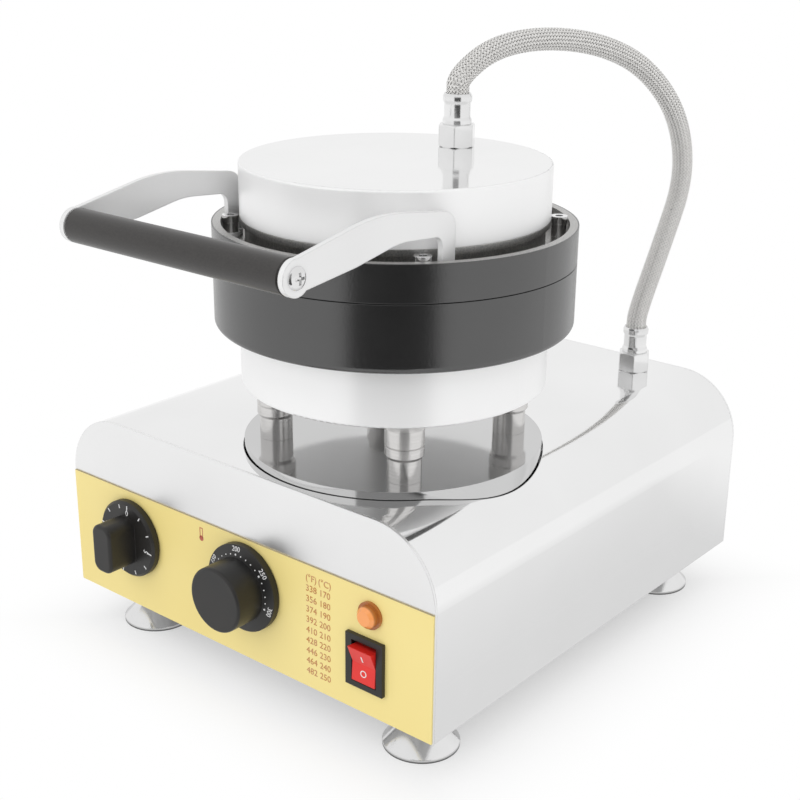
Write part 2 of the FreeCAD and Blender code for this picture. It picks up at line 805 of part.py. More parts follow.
def lower_plate():
    inner = "ring_radius - ring_skirt"
    under = "lower_plate_height - plate_thickness"
    thread = "centre_bolt_radius + hole_clearance"
    thread_top = "lower_plate_height - plate_thickness / 2"
    profile = [("0", "lower_plate_height"), ("0", thread_top), (thread, thread_top), (thread, under),
               (inner, under), (inner, "0"), ("ring_radius", "0"), ("ring_radius", "lower_plate_height")]
    body = turned("lower_plate", profile)
    fillet(body, level_edge(0.0, size("ring_radius")), "ring_edge")
    waffle_grooves(body, "lower_plate_height", forwards=False)
    hinge_bolt_holes(body, "lower_plate_height - lower_bolt_drop", "lower_bolt_side")
    place(body, HEAD_X, HEAD_Y, LOWER_BOTTOM)
    return node(body, "lower_plate")


def heater(name):
    """Open ring of heater tube about Z with two straight leads below; its top is at Z = 0."""
    ring = doc.addObject("Part::Torus", name + "_ring")
    ring.setExpression("Radius1", bind("heater_radius"))
    ring.setExpression("Radius2", bind("heater_tube"))
    ring.Angle3 = 360.0 - HEATER_OPENING
    turn = FreeCAD.Rotation(FreeCAD.Vector(0, 0, 1), 90 + HEATER_OPENING / 2)
    place(ring, z="-heater_tube", turn=turn)
    leads = []
    for side, sign in (("left", "-"), ("right", "")):
        lead = cylinder("%s_lead_%s" % (name, side), "heater_tube", "heater_lead + heater_tube")
        x = "%sheater_radius * sin(%s)" % (sign, HEATER_OPENING / 2)
        y = "heater_radius * cos(%s)" % (HEATER_OPENING / 2)
        leads.append(place(lead, x, y, "-2 * heater_tube - heater_lead"))
    return fuse(name, [ring] + leads)


def round_slab(name, radius, thickness):
    """Disc with a centre hole and a notch at the rear for the heater leads."""
    body = new_body(name)
    sketch = sketch_on(body, "XY_Plane")
    circle(sketch, "0", "0", radius)
    circle(sketch, "0", "0", "centre_bolt_radius + hole_clearance")
    pad(body, sketch, thickness)
    notch = sketch_on(body, "XY_Plane")
    half = "heater_radius / 2"
    rectangle(notch, "-" + half, "heater_radius - 2 * heater_tube", half, radius + " + notch_over")
    pocket(body, notch, forwards=True)
    return body


def lower_heating():
    ring = heater("lower_heater")
    place(ring, HEAD_X, HEAD_Y, UNDER_PLATE)
    node(ring, "lower_heater")
    clamp_z = "(%s - 2 * heater_tube - clamp_thickness)" % UNDER_PLATE
    clamp = round_slab("lower_clamp_plate", "clamp_radius", "clamp_thickness")
    node(place(clamp, HEAD_X, HEAD_Y, clamp_z), "lower_clamp_plate")
    wool = round_slab("lower_insulation", "insulation_radius", "insulation_thickness")
    wool_z = "(%s - insulation_thickness)" % clamp_z
    node(place(wool, HEAD_X, HEAD_Y, wool_z), "lower_insulation")
    reach = "insulation_thickness + clamp_thickness + 2 * heater_tube + plate_thickness / 3"
    bolt = screw("lower_heater_bolt", "centre_bolt_radius", reach, "bolt_head_radius * 2",
                 "bolt_head_height")
    node(place(bolt, HEAD_X, HEAD_Y, wool_z), "lower_heater_bolt")
    bulb = cylinder("thermostat_bulb", "bulb_radius", "bulb_length")
    place(bulb, HEAD_X + " - bulb_length / 2", HEAD_Y + " - bulb_back",
          clamp_z + " + clamp_thickness + bulb_radius", TURN_TO_RIGHT)
    node(bulb, "thermostat_bulb")


# Baking head, upper half
def upper_plate():
    rim_inner = "ring_radius - rim_wall"
    trough = "upper_plate_height - trough_depth"
    seat = "upper_plate_height + cover_lift"
    spigot = "cover_radius - cover_wall - cover_fit"
    boss_inner = "boss_radius - boss_wall"
    thread = "centre_bolt_radius + hole_clearance"
    profile = [("0", "0"), ("ring_radius", "0"), ("ring_radius", "upper_plate_height"),
               (rim_inner, "upper_plate_height"), (rim_inner, trough), ("boss_radius", trough),
               ("boss_radius", seat + " - cover_lift"), ("cover_radius", seat + " - cover_lift"),
               ("cover_radius", seat), (spigot, seat), (spigot, seat + " + spigot_height"),
               (boss_inner, seat + " + spigot_height"), (boss_inner, "upper_floor"),
               (thread, "upper_floor"), (thread, "upper_floor / 2"), ("0", "upper_floor / 2")]
    body = turned("upper_plate", profile)
    waffle_grooves(body, "0", forwards=True)
    hinge_bolt_holes(body, "upper_bolt_rise", "upper_bolt_side")
    place(body, HEAD_X, HEAD_Y, UPPER_BOTTOM)
    return node(body, "upper_plate")


def upper_heating():
    face = "(%s + upper_floor)" % UPPER_BOTTOM
    flip = FreeCAD.Rotation(FreeCAD.Vector(0, 1, 0), 180)
    ring = heater("upper_heater")
    node(place(ring, HEAD_X, HEAD_Y, face, flip), "upper_heater")
    clamp = round_slab("upper_clamp_plate", "clamp_radius", "clamp_thickness")
    clamp_z = "(%s + 2 * heater_tube)" % face
    node(place(clamp, HEAD_X, HEAD_Y, clamp_z), "upper_clamp_plate")
    wool = round_slab("upper_insulation", "clamp_radius", "insulation_thickness")
    wool_z = "(%s + clamp_thickness)" % clamp_z
    node(place(wool, HEAD_X, HEAD_Y, wool_z), "upper_insulation")
    reach = "insulation_thickness + clamp_thickness + 2 * heater_tube + upper_floor / 3"
    bolt = screw("upper_heater_bolt", "centre_bolt_radius", reach, "bolt_head_radius * 2",
                 "bolt_head_height")
    node(place(bolt, HEAD_X, HEAD_Y, wool_z + " + insulation_thickness", flip), "upper_heater_bolt")


def upper_cover():
    inner = "cover_radius - cover_wall"
    profile = [(inner, "0"), ("cover_radius", "0"), ("cover_radius", "cover_height"), ("0", "cover_height"),
               ("0", "cover_height - cover_wall"), (inner, "cover_height - cover_wall")]
    body = turned("upper_cover", profile)
    fillet(body, level_edge(size("cover_height"), size("cover_radius")), "cover_wall")
    hole = sketch_on(body, "XY_Plane")
    circle(hole, "0", "hose_cover_back", "nipple_radius + hole_clearance")
    pocket(body, hole, forwards=True)
    place(body, HEAD_X, HEAD_Y, COVER_BOTTOM)
    return node(body, "upper_cover")


def standoff_screws():
    """Socket-head screws on spacers in the trough; the front pair clamps the handle lugs."""
    screws = []
    head = "standoff_head_radius"
    for name, x, y in corners_of("standoff_side", STANDOFF_Y):
        foot = "bracket_thickness" if name.startswith("front") else "0"
        top = "bracket_thickness + standoff_height"
        socket = "standoff_radius / 2"
        head_top = top + " + standoff_head"
        socket_floor = top + " + standoff_head / 3"
        profile = [("0", foot), ("standoff_radius", foot), ("standoff_radius", top), (head, top),
                   (head, head_top), (socket, head_top), (socket, socket_floor), ("0", socket_floor)]
        item = turned("standoff_" + name, profile)
        screws.append(place(item, "%s + %s" % (HEAD_X, x), "%s + %s" % (HEAD_Y, y), TROUGH))
    return node(group("standoff_screws", screws), "standoff_screws")


# Hinge at the rear of the head, between the lower and the upper ring
def bored(name, solids, tools):
    """One solid from several, with holes and seats cut out of it."""
    return cut(name, fuse(name + "_solid", solids), fuse(name + "_tools", tools))


def hinge_bore(name, radius, axis_height):
    """Cutter along X through the hinge axis, seen from the head's own axis."""
    half = "(hinge_arm_width / 2 + hinge_side_gap + hinge_ear_width + hinge_pin_end)"
    item = cylinder(name, radius, "2 * " + half)
    return place(item, "-" + half, "ring_radius + hinge_offset", axis_height, TURN_TO_RIGHT)


def hinge_bolts(name, side, seat, level):
    """Pair of bolts from the rear through a hinge piece into its ring."""
    bolts = []
    ring_fall = "ring_radius - sqrt(ring_radius ^ 2 - %s ^ 2)" % side
    length = "%s + %s + hinge_bolt_depth - bolt_end_gap" % (seat, ring_fall)
    for sign in ("-", "+"):
        bolt = screw("%s_%d" % (name, len(bolts)), "stud_radius", length, "bolt_head_radius",
                     "bolt_head_height")
        place(bolt, "%s %s %s" % (HEAD_X, sign, side), "%s + ring_radius + %s" % (HEAD_Y, seat), level,
              TURN_TO_FRONT)
        bolts.append(bolt)
    return node(group(name, bolts), name)


def bolt_tools(name, side, level):
    """Cutters along Y for a pair of hinge bolts."""
    tools = []
    for sign in ("-", ""):
        tool = cylinder("%s_hole_%d" % (name, len(tools)), "stud_radius + hole_clearance", "ring_radius")
        tools.append(place(tool, sign + side, "ring_radius / 2", level, TURN_TO_REAR))
    return tools


def lower_hinge_bracket():
    name = "lower_hinge_bracket"
    axis_height = "(plate_gap + hinge_rise)"
    axis_back = "(ring_radius + hinge_offset)"
    ear_start = "(hinge_arm_width / 2 + hinge_side_gap)"
    outer = "(%s + hinge_ear_width)" % ear_start
    solids = []
    for side, start in (("left", "-" + outer), ("right", ear_start)):
        knuckle = cylinder("ear_round_" + side, "hinge_knuckle_radius", "hinge_ear_width")
        solids.append(place(knuckle, start, axis_back, axis_height, TURN_TO_RIGHT))
        web = box("ear_web_" + side, "hinge_ear_width", "2 * hinge_knuckle_radius",
                  axis_height + " + hinge_block_height")
        solids.append(place(web, start, axis_back + " - hinge_knuckle_radius", "-hinge_block_height"))
    block_top = "(%s - hinge_knuckle_radius - hinge_under_gap)" % axis_height
    block_front = "(ring_radius - ring_skirt / 2)"
    block = box("hinge_block", "2 * " + outer, axis_back + " + hinge_knuckle_radius - " + block_front,
                "hinge_block_height + " + block_top)
    solids.append(place(block, "-" + outer, block_front, "-hinge_block_height"))
    seat = cylinder("lower_ring_seat", "ring_radius", "lower_plate_height")
    place(seat, z="-lower_plate_height")
    tools = [seat, hinge_bore("ear_bore", "hinge_pin_radius + hinge_pin_fit", axis_height)]
    tools += bolt_tools(name, "lower_bolt_side", "-lower_bolt_drop")
    bracket = bored(name, solids, tools)
    node(place(bracket, HEAD_X, HEAD_Y, SPLIT), name)
    hinge_bolts("lower_hinge_bolts", "lower_bolt_side", "hinge_offset + hinge_knuckle_radius",
                SPLIT + " - lower_bolt_drop")


def upper_hinge_arm():
    name = "upper_hinge_arm"
    axis_back = "(ring_radius + hinge_offset)"
    knuckle = cylinder("arm_knuckle", "hinge_knuckle_radius", "hinge_arm_width")
    place(knuckle, "-hinge_arm_width / 2", axis_back, "hinge_rise", TURN_TO_RIGHT)
    arm = box("arm_bar", "hinge_arm_width", "hinge_offset + hinge_flange", "1.5 * hinge_knuckle_radius")
    arm_bottom = "hinge_rise - hinge_knuckle_radius / 2"
    place(arm, "-hinge_arm_width / 2", "ring_radius - hinge_flange", arm_bottom)
    flange_front = "(ring_radius - ring_skirt)"
    flange = box("arm_flange", "hinge_flange_width", "ring_skirt + hinge_flange", "hinge_flange_height")
    place(flange, "-hinge_flange_width / 2", flange_front)
    seat = cylinder("upper_ring_seat", "ring_radius", "2 * upper_plate_height")
    place(seat, z="-upper_plate_height / 2")
    tools = [seat, hinge_bore("arm_bore", "hinge_pin_radius + hinge_pin_fit", "hinge_rise")]
    tools += bolt_tools(name, "upper_bolt_side", "upper_bolt_rise")
    item = bored(name, [knuckle, arm, flange], tools)
    node(place(item, HEAD_X, HEAD_Y, UPPER_BOTTOM), name)
    hinge_bolts("upper_hinge_bolts", "upper_bolt_side", "hinge_flange", UPPER_BOTTOM + " + upper_bolt_rise")


def hinge_pin():
    half = "(hinge_arm_width / 2 + hinge_side_gap + hinge_ear_width)"
    profile = [("0", "-hinge_pin_end"), ("hinge_pin_head", "-hinge_pin_end"), ("hinge_pin_head", "0"),
               ("hinge_pin_radius", "0"), ("hinge_pin_radius", "2 * %s + hinge_pin_end" % half),
               ("0", "2 * %s + hinge_pin_end" % half)]
    pin_body = turned("hinge_pin", profile)
    place(pin_body, "%s - %s" % (HEAD_X, half), HINGE_Y, HINGE_Z, TURN_TO_RIGHT)
    return node(pin_body, "hinge_pin")


# Handle: two arched bars, a grip on a rod between them and a screw at each end
def bar_edge(y, z):
    """Test for a straight edge across a bar's thickness at one place of its outline."""
    def wanted(edge):
        middle = edge.BoundBox.Center
        across = max(edge.BoundBox.YLength, edge.BoundBox.ZLength) < EDGE_TOLERANCE
        return across and max(abs(middle.y - y), abs(middle.z - z)) < EDGE_TOLERANCE
    return wanted


def round_end_join(angle):
    """Place where the bar's outline runs into its round end, just inside the round."""
    across = "bracket_end_radius * bracket_join * cos(%s) - handle_reach" % angle
    up = "handle_rise + bracket_end_radius * bracket_join * sin(%s)" % angle
    return across, up


def handle_bracket(side, sign):
    """Arched flat bar with a leg in the trough, a lug under a standoff and a round end for the grip."""
    name = "handle_bracket_" + side
    body = new_body(name)
    plane_x = "%shandle_half_width - bracket_thickness / 2" % sign
    bar = sketch_on(body, "YZ_Plane", plane_x)
    leg_back = "leg_width - leg_front"
    inner_crown = "arch_rise - arch_height"
    polygon(bar, [("-leg_front", "-trough_depth"), (leg_back, "-trough_depth"), (leg_back, "arch_shoulder"),
                  ("-arch_crown", "arch_rise"),
                  round_end_join("bracket_top_angle"), round_end_join("bracket_under_angle"),
                  ("-arch_crown - arch_height", "arch_toe"), ("-arch_inner_crown", inner_crown),
                  ("-leg_front", "arch_toe + bracket_thickness")])
    pad(body, bar, "bracket_thickness")
    leg_front = -size("leg_front")
    inner_height = size("arch_rise") - size("arch_height")
    fillet(body, bar_edge(leg_front + size("leg_width"), size("arch_shoulder")), "shoulder_curve")
    fillet(body, bar_edge(-size("arch_crown"), size("arch_rise")), "arch_curve")
    fillet(body, bar_edge(-size("arch_inner_crown"), inner_height), "arch_curve / 2")
    fillet(body, bar_edge(leg_front, size("arch_toe") + size("bracket_thickness")), "armpit_curve")
    end = sketch_on(body, "YZ_Plane", plane_x)
    circle(end, "-handle_reach", "handle_rise", "bracket_end_radius")
    pad(body, end, "bracket_thickness")
    hole = sketch_on(body, "YZ_Plane", plane_x)
    circle(hole, "-handle_reach", "handle_rise", "rod_radius + hole_clearance")
    pocket(body, hole, "bracket_thickness", forwards=True)
    lug = sketch_on(body, "XY_Plane", "-trough_depth")
    lug_x = sign + "standoff_side"
    circle(lug, lug_x, "-" + STANDOFF_Y, "lug_radius")
    pad(body, lug, "bracket_thickness")
    web = sketch_on(body, "XY_Plane", "-trough_depth")
    rectangle(web, lug_x, "-leg_front", "%shandle_half_width" % sign, "lug_web - leg_front")
    pad(body, web, "bracket_thickness")
    place(body, HEAD_X, HEAD_Y, RIM_TOP)
    return node(body, name)


def handle_grip():
    grip_y = HEAD_Y + " - handle_reach"
    grip_z = RIM_TOP + " + handle_rise"
    inside = "(handle_half_width - bracket_thickness / 2 - grip_end_gap)"
    length = "2 * " + inside
    bore = "rod_radius + hole_clearance"
    profile = [(bore, "0"), ("grip_radius - grip_edge", "0"), ("grip_radius", "grip_edge"),
               ("grip_radius", length + " - grip_edge"), ("grip_radius - grip_edge", length),
               (bore, length)]
    grip = turned("handle_grip", profile)
    node(place(grip, "%s - %s" % (HEAD_X, inside), grip_y, grip_z, TURN_TO_RIGHT), "handle_grip")

    outside = "(handle_half_width + bracket_thickness / 2)"
    length = "2 * " + outside
    hole = "screw_radius + hole_clearance"
    profile = [("0", "rod_screw_depth"), (hole, "rod_screw_depth"), (hole, "0"), ("rod_radius", "0"),
               ("rod_radius", length), (hole, length), (hole, length + " - rod_screw_depth"),
               ("0", length + " - rod_screw_depth")]
    rod = turned("handle_rod", profile)
    node(place(rod, "%s - %s" % (HEAD_X, outside), grip_y, grip_z, TURN_TO_RIGHT), "handle_rod")

    screws = []
    for sign, turn in (("-", TURN_TO_RIGHT), ("+", TURN_TO_LEFT)):
        item = screw("handle_screw_%d" % len(screws), "screw_radius", "screw_length", "bolt_head_radius",
                     "screw_head_height")
        screws.append(place(item, "%s %s %s" % (HEAD_X, sign, outside), grip_y, grip_z, turn))
    node(group("handle_screws", screws), "handle_screws")


# Hose between the lid's cover and the casing, with a nut, a ferrule and a nipple at each end
def hose_fitting(end, x, y, face, sheet_thickness):
    nut_hole = cylinder("nut_hole_" + end, "nipple_radius + hole_clearance", "nut_height")
    nut = cut("hose_nut_" + end, hexagon("nut_block_" + end, "nut_flats", "nut_height"), nut_hole)
    node(place(nut, x, y, face), "hose_nut_" + end)

    bore = "hose_radius + hole_clearance"
    bead_top = "ferrule_length - ferrule_taper"
    profile = [(bore, "0"), ("ferrule_bead", "0"), ("ferrule_bead", "ferrule_bead_height"),
               ("ferrule_radius", "ferrule_bead_height + ferrule_taper"),
               ("ferrule_radius", bead_top + " - ferrule_bead_height - ferrule_taper"),
               ("ferrule_bead", bead_top + " - ferrule_bead_height"), ("ferrule_bead", bead_top),
               ("ferrule_radius", "ferrule_length"), (bore, "ferrule_length")]
    ferrule = turned("hose_ferrule_" + end, profile)
    node(place(ferrule, x, y, face + " + nut_height"), "hose_ferrule_" + end)

    profile = [("nipple_bore", "-nipple_tail"), ("nipple_radius", "-nipple_tail"),
               ("nipple_radius", "nut_height + hose_inset"), ("nipple_bore", "nut_height + hose_inset")]
    nipple = turned("nipple_tube_" + end, profile)
    place(nipple, x, y, face)
    lock_hole = cylinder("lock_hole_" + end, "nipple_radius + hole_clearance", "locknut_height")
    lock = cut("locknut_" + end, hexagon("lock_block_" + end, "nut_flats", "locknut_height"), lock_hole)
    place(lock, x, y, "%s - %s - locknut_height" % (face, sheet_thickness))
    node(group("hose_nipple_" + end, [nipple, lock]), "hose_nipple_" + end)


# Route of the hose. Each point is a place along the line on the plan from the cover's fitting (0) to the
# casing's fitting (1), and a height above the hose's end in the fitting that the point hangs from.
HOSE_FROM_COVER = [(0.0, 0.0), (0.0, 17.5), (0.16, 32.5), (0.41, 36.0), (0.71, 29.5), (0.96, 13.0)]
HOSE_FROM_CASING = [(1.16, 144.0), (1.225, 104.0), (1.12, 62.0), (1.0, 18.0), (1.0, 0.0)]
# Share of the shorter run at a corner that its arc takes up
ARC_SHARE = 0.45


def hose_points():
    """Hose route in millimetres."""
    front = (size("handle_reach") + size("grip_radius") - size("head_back") - size("base_depth")
             - size("gland_reach")) / 2
    casing_top = (size("foot_height") + size("floor_sheet") + size("panel_height")
                  + size("shoulder_radius"))
    cover_top = (casing_top + size("drum_lift") + size("pillar_height") + size("cup_height")
                 + size("lower_plate_height") + size("plate_gap") + size("upper_plate_height")
                 + size("cover_lift") + size("cover_height"))
    start = FreeCAD.Vector(size("head_right"), front + size("head_back") + size("hose_cover_back"), 0)
    stop_x = size("base_width") / 2 - size("hose_side_inset")
    stop = FreeCAD.Vector(stop_x, front + size("base_depth") - size("hose_end_inset"), 0)
    points = []
    for route, level in ((HOSE_FROM_COVER, cover_top), (HOSE_FROM_CASING, casing_top)):
        for share, height in route:
            spot = start + (stop - start) * share
            hose_end = level + size("nut_height") + size("hose_inset")
            points.append(FreeCAD.Vector(spot.x, spot.y, hose_end + height))
    return points


def rounded_path(points):
    """Straight runs joined by tangent arcs, each as large as its two runs allow."""
    edges = []
    radii = []
    last = points[0]
    for before, corner, after in zip(points, points[1:], points[2:]):
        into = (corner - before).normalize()
        out = (after - corner).normalize()
        turn = into.getAngle(out)
        back = ARC_SHARE * min((corner - before).Length, (after - corner).Length)
        radius = back / math.tan(turn / 2)
        entry = corner - into * back
        leave = corner + out * back
        to_centre = (out - into).normalize()
        middle = corner + to_centre * (radius / math.cos(turn / 2) - radius)
        edges.append(Part.LineSegment(last, entry).toShape())
        edges.append(Part.Arc(entry, middle, leave).toShape())
        radii.append(radius)
        last = leave
    edges.append(Part.LineSegment(last, points[-1]).toShape())
    return Part.Wire(edges), radii


def hose():
    points = hose_points()
    path, radii = rounded_path(points)
    section = Part.Wire([Part.makeCircle(size("hose_radius"), points[0], points[1] - points[0])])
    tube = path.makePipeShell([section], True, False)
    item = doc.addObject("Part::Feature", "hose")
    item.Shape = tube
    expected = math.pi * size("hose_radius") ** 2 * path.Length
    print("hose length %.1f mm, bend radii %s" % (path.Length, [round(radius, 1) for radius in radii]))
    print("hose volume %.1f mm3, section times length %.1f mm3" % (tube.Volume, expected))
    for point in points:
        print("hose point %.1f %.1f %.1f" % (point.x, point.y, point.z))
    return node(item, "hose")


# Dials: a knob on a shaft that runs in the bush of its control behind the panel.
# Each is drawn about its own axis with the panel's face at Z = 0 and the front along +Z.
def control_case(name, case, side, rise):
    """Case behind the front plate with a bush through plate and panel, bored for the shaft."""
    back = "(panel_sheet + plate_sheet)"
    bush = cylinder(name + "_bush", "bush_radius", back + " + shaft_inside")
    place(bush, z="-%s - shaft_inside" % back)
    bore = cylinder(name + "_bore", "shaft_radius + shaft_fit", back + " + shaft_inside + shaft_fit")
    place(bore, z="-%s - shaft_inside - shaft_fit" % back)
    item = cut(name, fuse(name + "_solid", [case, bush]), bore)
    place(item, side, PANEL_FACE, "%s + %s" % (CASING_BOTTOM, rise), TURN_TO_FRONT)
    return node(item, name)


def dial_shaft(name, side, rise):
    length = "panel_sheet + plate_sheet + shaft_inside + knob_gap + shaft_in_knob"
    shaft = cylinder(name, "shaft_radius", length)
    place(shaft, side, PANEL_FACE + " + panel_sheet + plate_sheet + shaft_inside",
          "%s + %s" % (CASING_BOTTOM, rise), TURN_TO_FRONT)
    return node(shaft, name)


def knob_bore(body):
    sketch = sketch_on(body, "XY_Plane")
    circle(sketch, "0", "0", "shaft_radius + shaft_fit")
    pocket(body, sketch, "knob_gap + shaft_in_knob + shaft_fit", forwards=True)


def timer():
    back = "(panel_sheet + plate_sheet)"
    case = box("timer_case_box", "timer_case", "timer_case", "timer_case_depth")
    place(case, "-timer_case / 2", "-timer_case / 2", "-%s - timer_case_depth" % back)
    control_case("timer_body", case, TIMER_X, "timer_rise")
    dial_shaft("timer_shaft", TIMER_X, "timer_rise")
    top = "knob_gap + timer_skirt"
    knob = turned("timer_knob", [("0", "knob_gap"), ("timer_radius", "knob_gap"),
                                 ("timer_radius", top + " - timer_bevel"),
                                 ("timer_radius - timer_bevel", top), ("0", top)])
    bar = sketch_on(knob, "XY_Plane", top)
    half_width = "timer_bar_width / 2"
    half_length = "timer_bar_length / 2"
    rectangle(bar, "-" + half_width, "-" + half_length, half_width, half_length)
    pad(knob, bar, "timer_bar_height")
    bar_height = size("timer_bar_height")
    bar_top = size("knob_gap") + size("timer_skirt") + bar_height
    fillet(knob, lambda edge: edge.BoundBox.ZLength > bar_height - EDGE_TOLERANCE, "timer_bar_round")
    fillet(knob, lambda edge: edge.BoundBox.ZMin > bar_top - EDGE_TOLERANCE, "timer_bar_edge")
    knob_bore(knob)
    place(knob, TIMER_X, PANEL_FACE, CASING_BOTTOM + " + timer_rise", TURN_TO_FRONT)
    return node(knob, "timer_knob")


def thermostat():
    back = "(panel_sheet + plate_sheet)"
    case = cylinder("thermostat_case", "thermostat_case_radius", "thermostat_case_depth")
    place(case, z="-%s - thermostat_case_depth" % back)
    control_case("thermostat_body", case, "thermostat_side", "thermostat_rise")
    dial_shaft("thermostat_shaft", "thermostat_side", "thermostat_rise")
    skirt_top = "knob_gap + thermostat_skirt"
    cap_top = skirt_top + " + thermostat_cap_height"
    knob = turned("thermostat_knob", [("0", "knob_gap"), ("thermostat_skirt_radius", "knob_gap"),
                                      ("thermostat_skirt_radius", skirt_top),
                                      ("thermostat_cap_radius", skirt_top + " + thermostat_cap_edge"),
                                      ("thermostat_cap_radius", cap_top), ("0", cap_top)])
    top = size("knob_gap") + size("thermostat_skirt") + size("thermostat_cap_height")
    fillet(knob, level_edge(top, size("thermostat_cap_radius")), "thermostat_cap_edge")
    knob_bore(knob)
    place(knob, "thermostat_side", PANEL_FACE, CASING_BOTTOM + " + thermostat_rise", TURN_TO_FRONT)
    return node(knob, "thermostat_knob")


# Rocker switch, drawn about its pivot with the front along -Y
def rocker_switch():
    spot = (ROCKER_X, PANEL_FACE, CASING_BOTTOM + " + rocker_rise")
    bezel = box("switch_bezel", "bezel_width", "bezel_depth", "bezel_height")
    place(bezel, "-bezel_width / 2", "-bezel_depth", "-bezel_height / 2")
    case = box("switch_case", "switch_width", "switch_depth", "switch_height")
    place(case, "-switch_width / 2", "0", "-switch_height / 2")
    well_half = "(rocker_half_height + rocker_gap)"
    well_depth = "(rocker_pivot + rocker_back * 2)"
    well = box("switch_well", "rocker_width + 2 * rocker_side_gap", "bezel_depth + " + well_depth,
               "2 * " + well_half)
    place(well, "-rocker_width / 2 - rocker_side_gap", "-bezel_depth", "-" + well_half)
    pin_half = "(rocker_width / 2 + rocker_pin_reach)"
    pin_hole = cylinder("switch_pin_hole", "rocker_pin_radius + rocker_pin_fit",
                        "2 * (%s + rocker_pin_fit)" % pin_half)
    place(pin_hole, "-%s - rocker_pin_fit" % pin_half, "rocker_pivot", turn=TURN_TO_RIGHT)
    hollow = fuse("switch_hollow", [well, pin_hole])
    housing = cut("rocker_housing", fuse("switch_solid", [bezel, case]), hollow)
    node(place(housing, *spot), "rocker_housing")

    body = new_body("rocker")
    sketch = sketch_on(body, "YZ_Plane", "-rocker_width / 2")
    back_half = "(rocker_half_height - rocker_back_taper)"
    polygon(sketch, [("-rocker_front", "-rocker_half_height"), ("rocker_back", "-" + back_half),
                     ("rocker_back", back_half), ("-rocker_front", "rocker_half_height"),
                     ("rocker_dip - rocker_front", "0")])
    pad(body, sketch, "rocker_width")
    pins = sketch_on(body, "YZ_Plane", "-" + pin_half)
    circle(pins, "0", "0", "rocker_pin_radius")
    pad(body, pins, "2 * " + pin_half)
    off = FreeCAD.Rotation(FreeCAD.Vector(1, 0, 0), size("rocker_tilt"))
    place(body, spot[0], spot[1] + " + rocker_pivot", spot[2], off)
    return node(body, "rocker")


def indicator():
    spot = (LAMP_X, PANEL_FACE, CASING_BOTTOM + " + lamp_rise", TURN_TO_FRONT)
    top = "lamp_flange + lamp_dome"
    profile = [("0", "-lamp_stem"), ("lamp_stem_radius", "-lamp_stem"), ("lamp_stem_radius", "0"),
               ("lamp_flange_radius", "0"), ("lamp_flange_radius", "lamp_flange"),
               ("lamp_dome_radius", "lamp_flange"), ("lamp_dome_radius", top + " - lamp_edge"),
               ("lamp_dome_radius - lamp_edge", top), ("0", top)]
    lens = turned("indicator_lens", profile)
    node(place(lens, *spot), "indicator_lens")
    back = "(panel_sheet + plate_sheet)"
    bore = "lamp_stem_radius + hole_clearance"
    rear = "-%s - lamp_body_depth" % back
    seat = "-lamp_stem - hole_clearance"
    profile = [("0", rear), ("lamp_body_radius", rear), ("lamp_body_radius", "-" + back), (bore, "-" + back),
               (bore, seat), ("0", seat)]
    holder = turned("indicator_body", profile)
    return node(place(holder, *spot), "indicator_body")


def cable_gland():
    spot = (GLAND_X, REAR, CASING_BOTTOM + " + gland_rise", TURN_TO_REAR)
    inside = "-plate_sheet - gland_nut_height"
    profile = [("gland_bore", inside), ("gland_thread_radius", inside), ("gland_thread_radius", "0"),
               ("gland_radius", "0"), ("gland_radius", "gland_flange"),
               ("gland_thread_radius", "gland_flange"),
               ("gland_thread_radius", "gland_reach - gland_bore / 2"),
               ("gland_bore + gland_lip", "gland_reach"), ("gland_bore", "gland_reach")]
    gland = turned("gland_tube", profile)
    place(gland, *spot)
    hole = "gland_thread_radius + hole_clearance"
    nut = turned("gland_nut", [(hole, inside), ("gland_radius", inside), ("gland_radius", "-plate_sheet"),
                               (hole, "-plate_sheet")])
    place(nut, *spot)
    return node(group("cable_gland", [gland, nut]), "cable_gland")


casing_wrap()
front_plate()
control_panel()
rear_plate()
floor_plate()
floor_screws()
feet()
drum_pedestal()
support_bridge()
pillars()
lower_cup()
lower_plate()
lower_heating()
upper_plate()
upper_heating()
upper_cover()
standoff_screws()
lower_hinge_bracket()
upper_hinge_arm()
hinge_pin()
handle_bracket("left", "-")
handle_bracket("right", "")
handle_grip()
hose_fitting("top", HEAD_X, HEAD_Y + " + hose_cover_back", COVER_TOP, "cover_wall")
hose_fitting("base", HOSE_X, "%s + %s" % (FRONT, HOSE_BACK), CASING_TOP, "casing_sheet")
hose()
timer()
thermostat()
rocker_switch()
indicator()
cable_gland()
doc.recompute()

# Checks before anything is written
for item in doc.Objects:
    if "Invalid" in item.State or "Error" in item.State:
        raise RuntimeError("%s failed to build: %s" % (item.Name, item.State))
for before, feature in cuts:
    if feature.Shape.Volume > before.Shape.Volume - 1e-6:
        raise RuntimeError("%s cuts nothing" % feature.Name)
for item in nodes:
    if item.Shape.isNull() or not item.Shape.isValid():
        raise RuntimeError("%s has no valid shape" % item.Label)

os.makedirs("parts", exist_ok=True)
for item in nodes:
    item.Shape.exportStep("parts/%s.step" % item.Label)
print("%d sub-parts written" % len(nodes))
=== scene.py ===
import json
import math

import bmesh
import bpy
from mathutils import Matrix, Vector

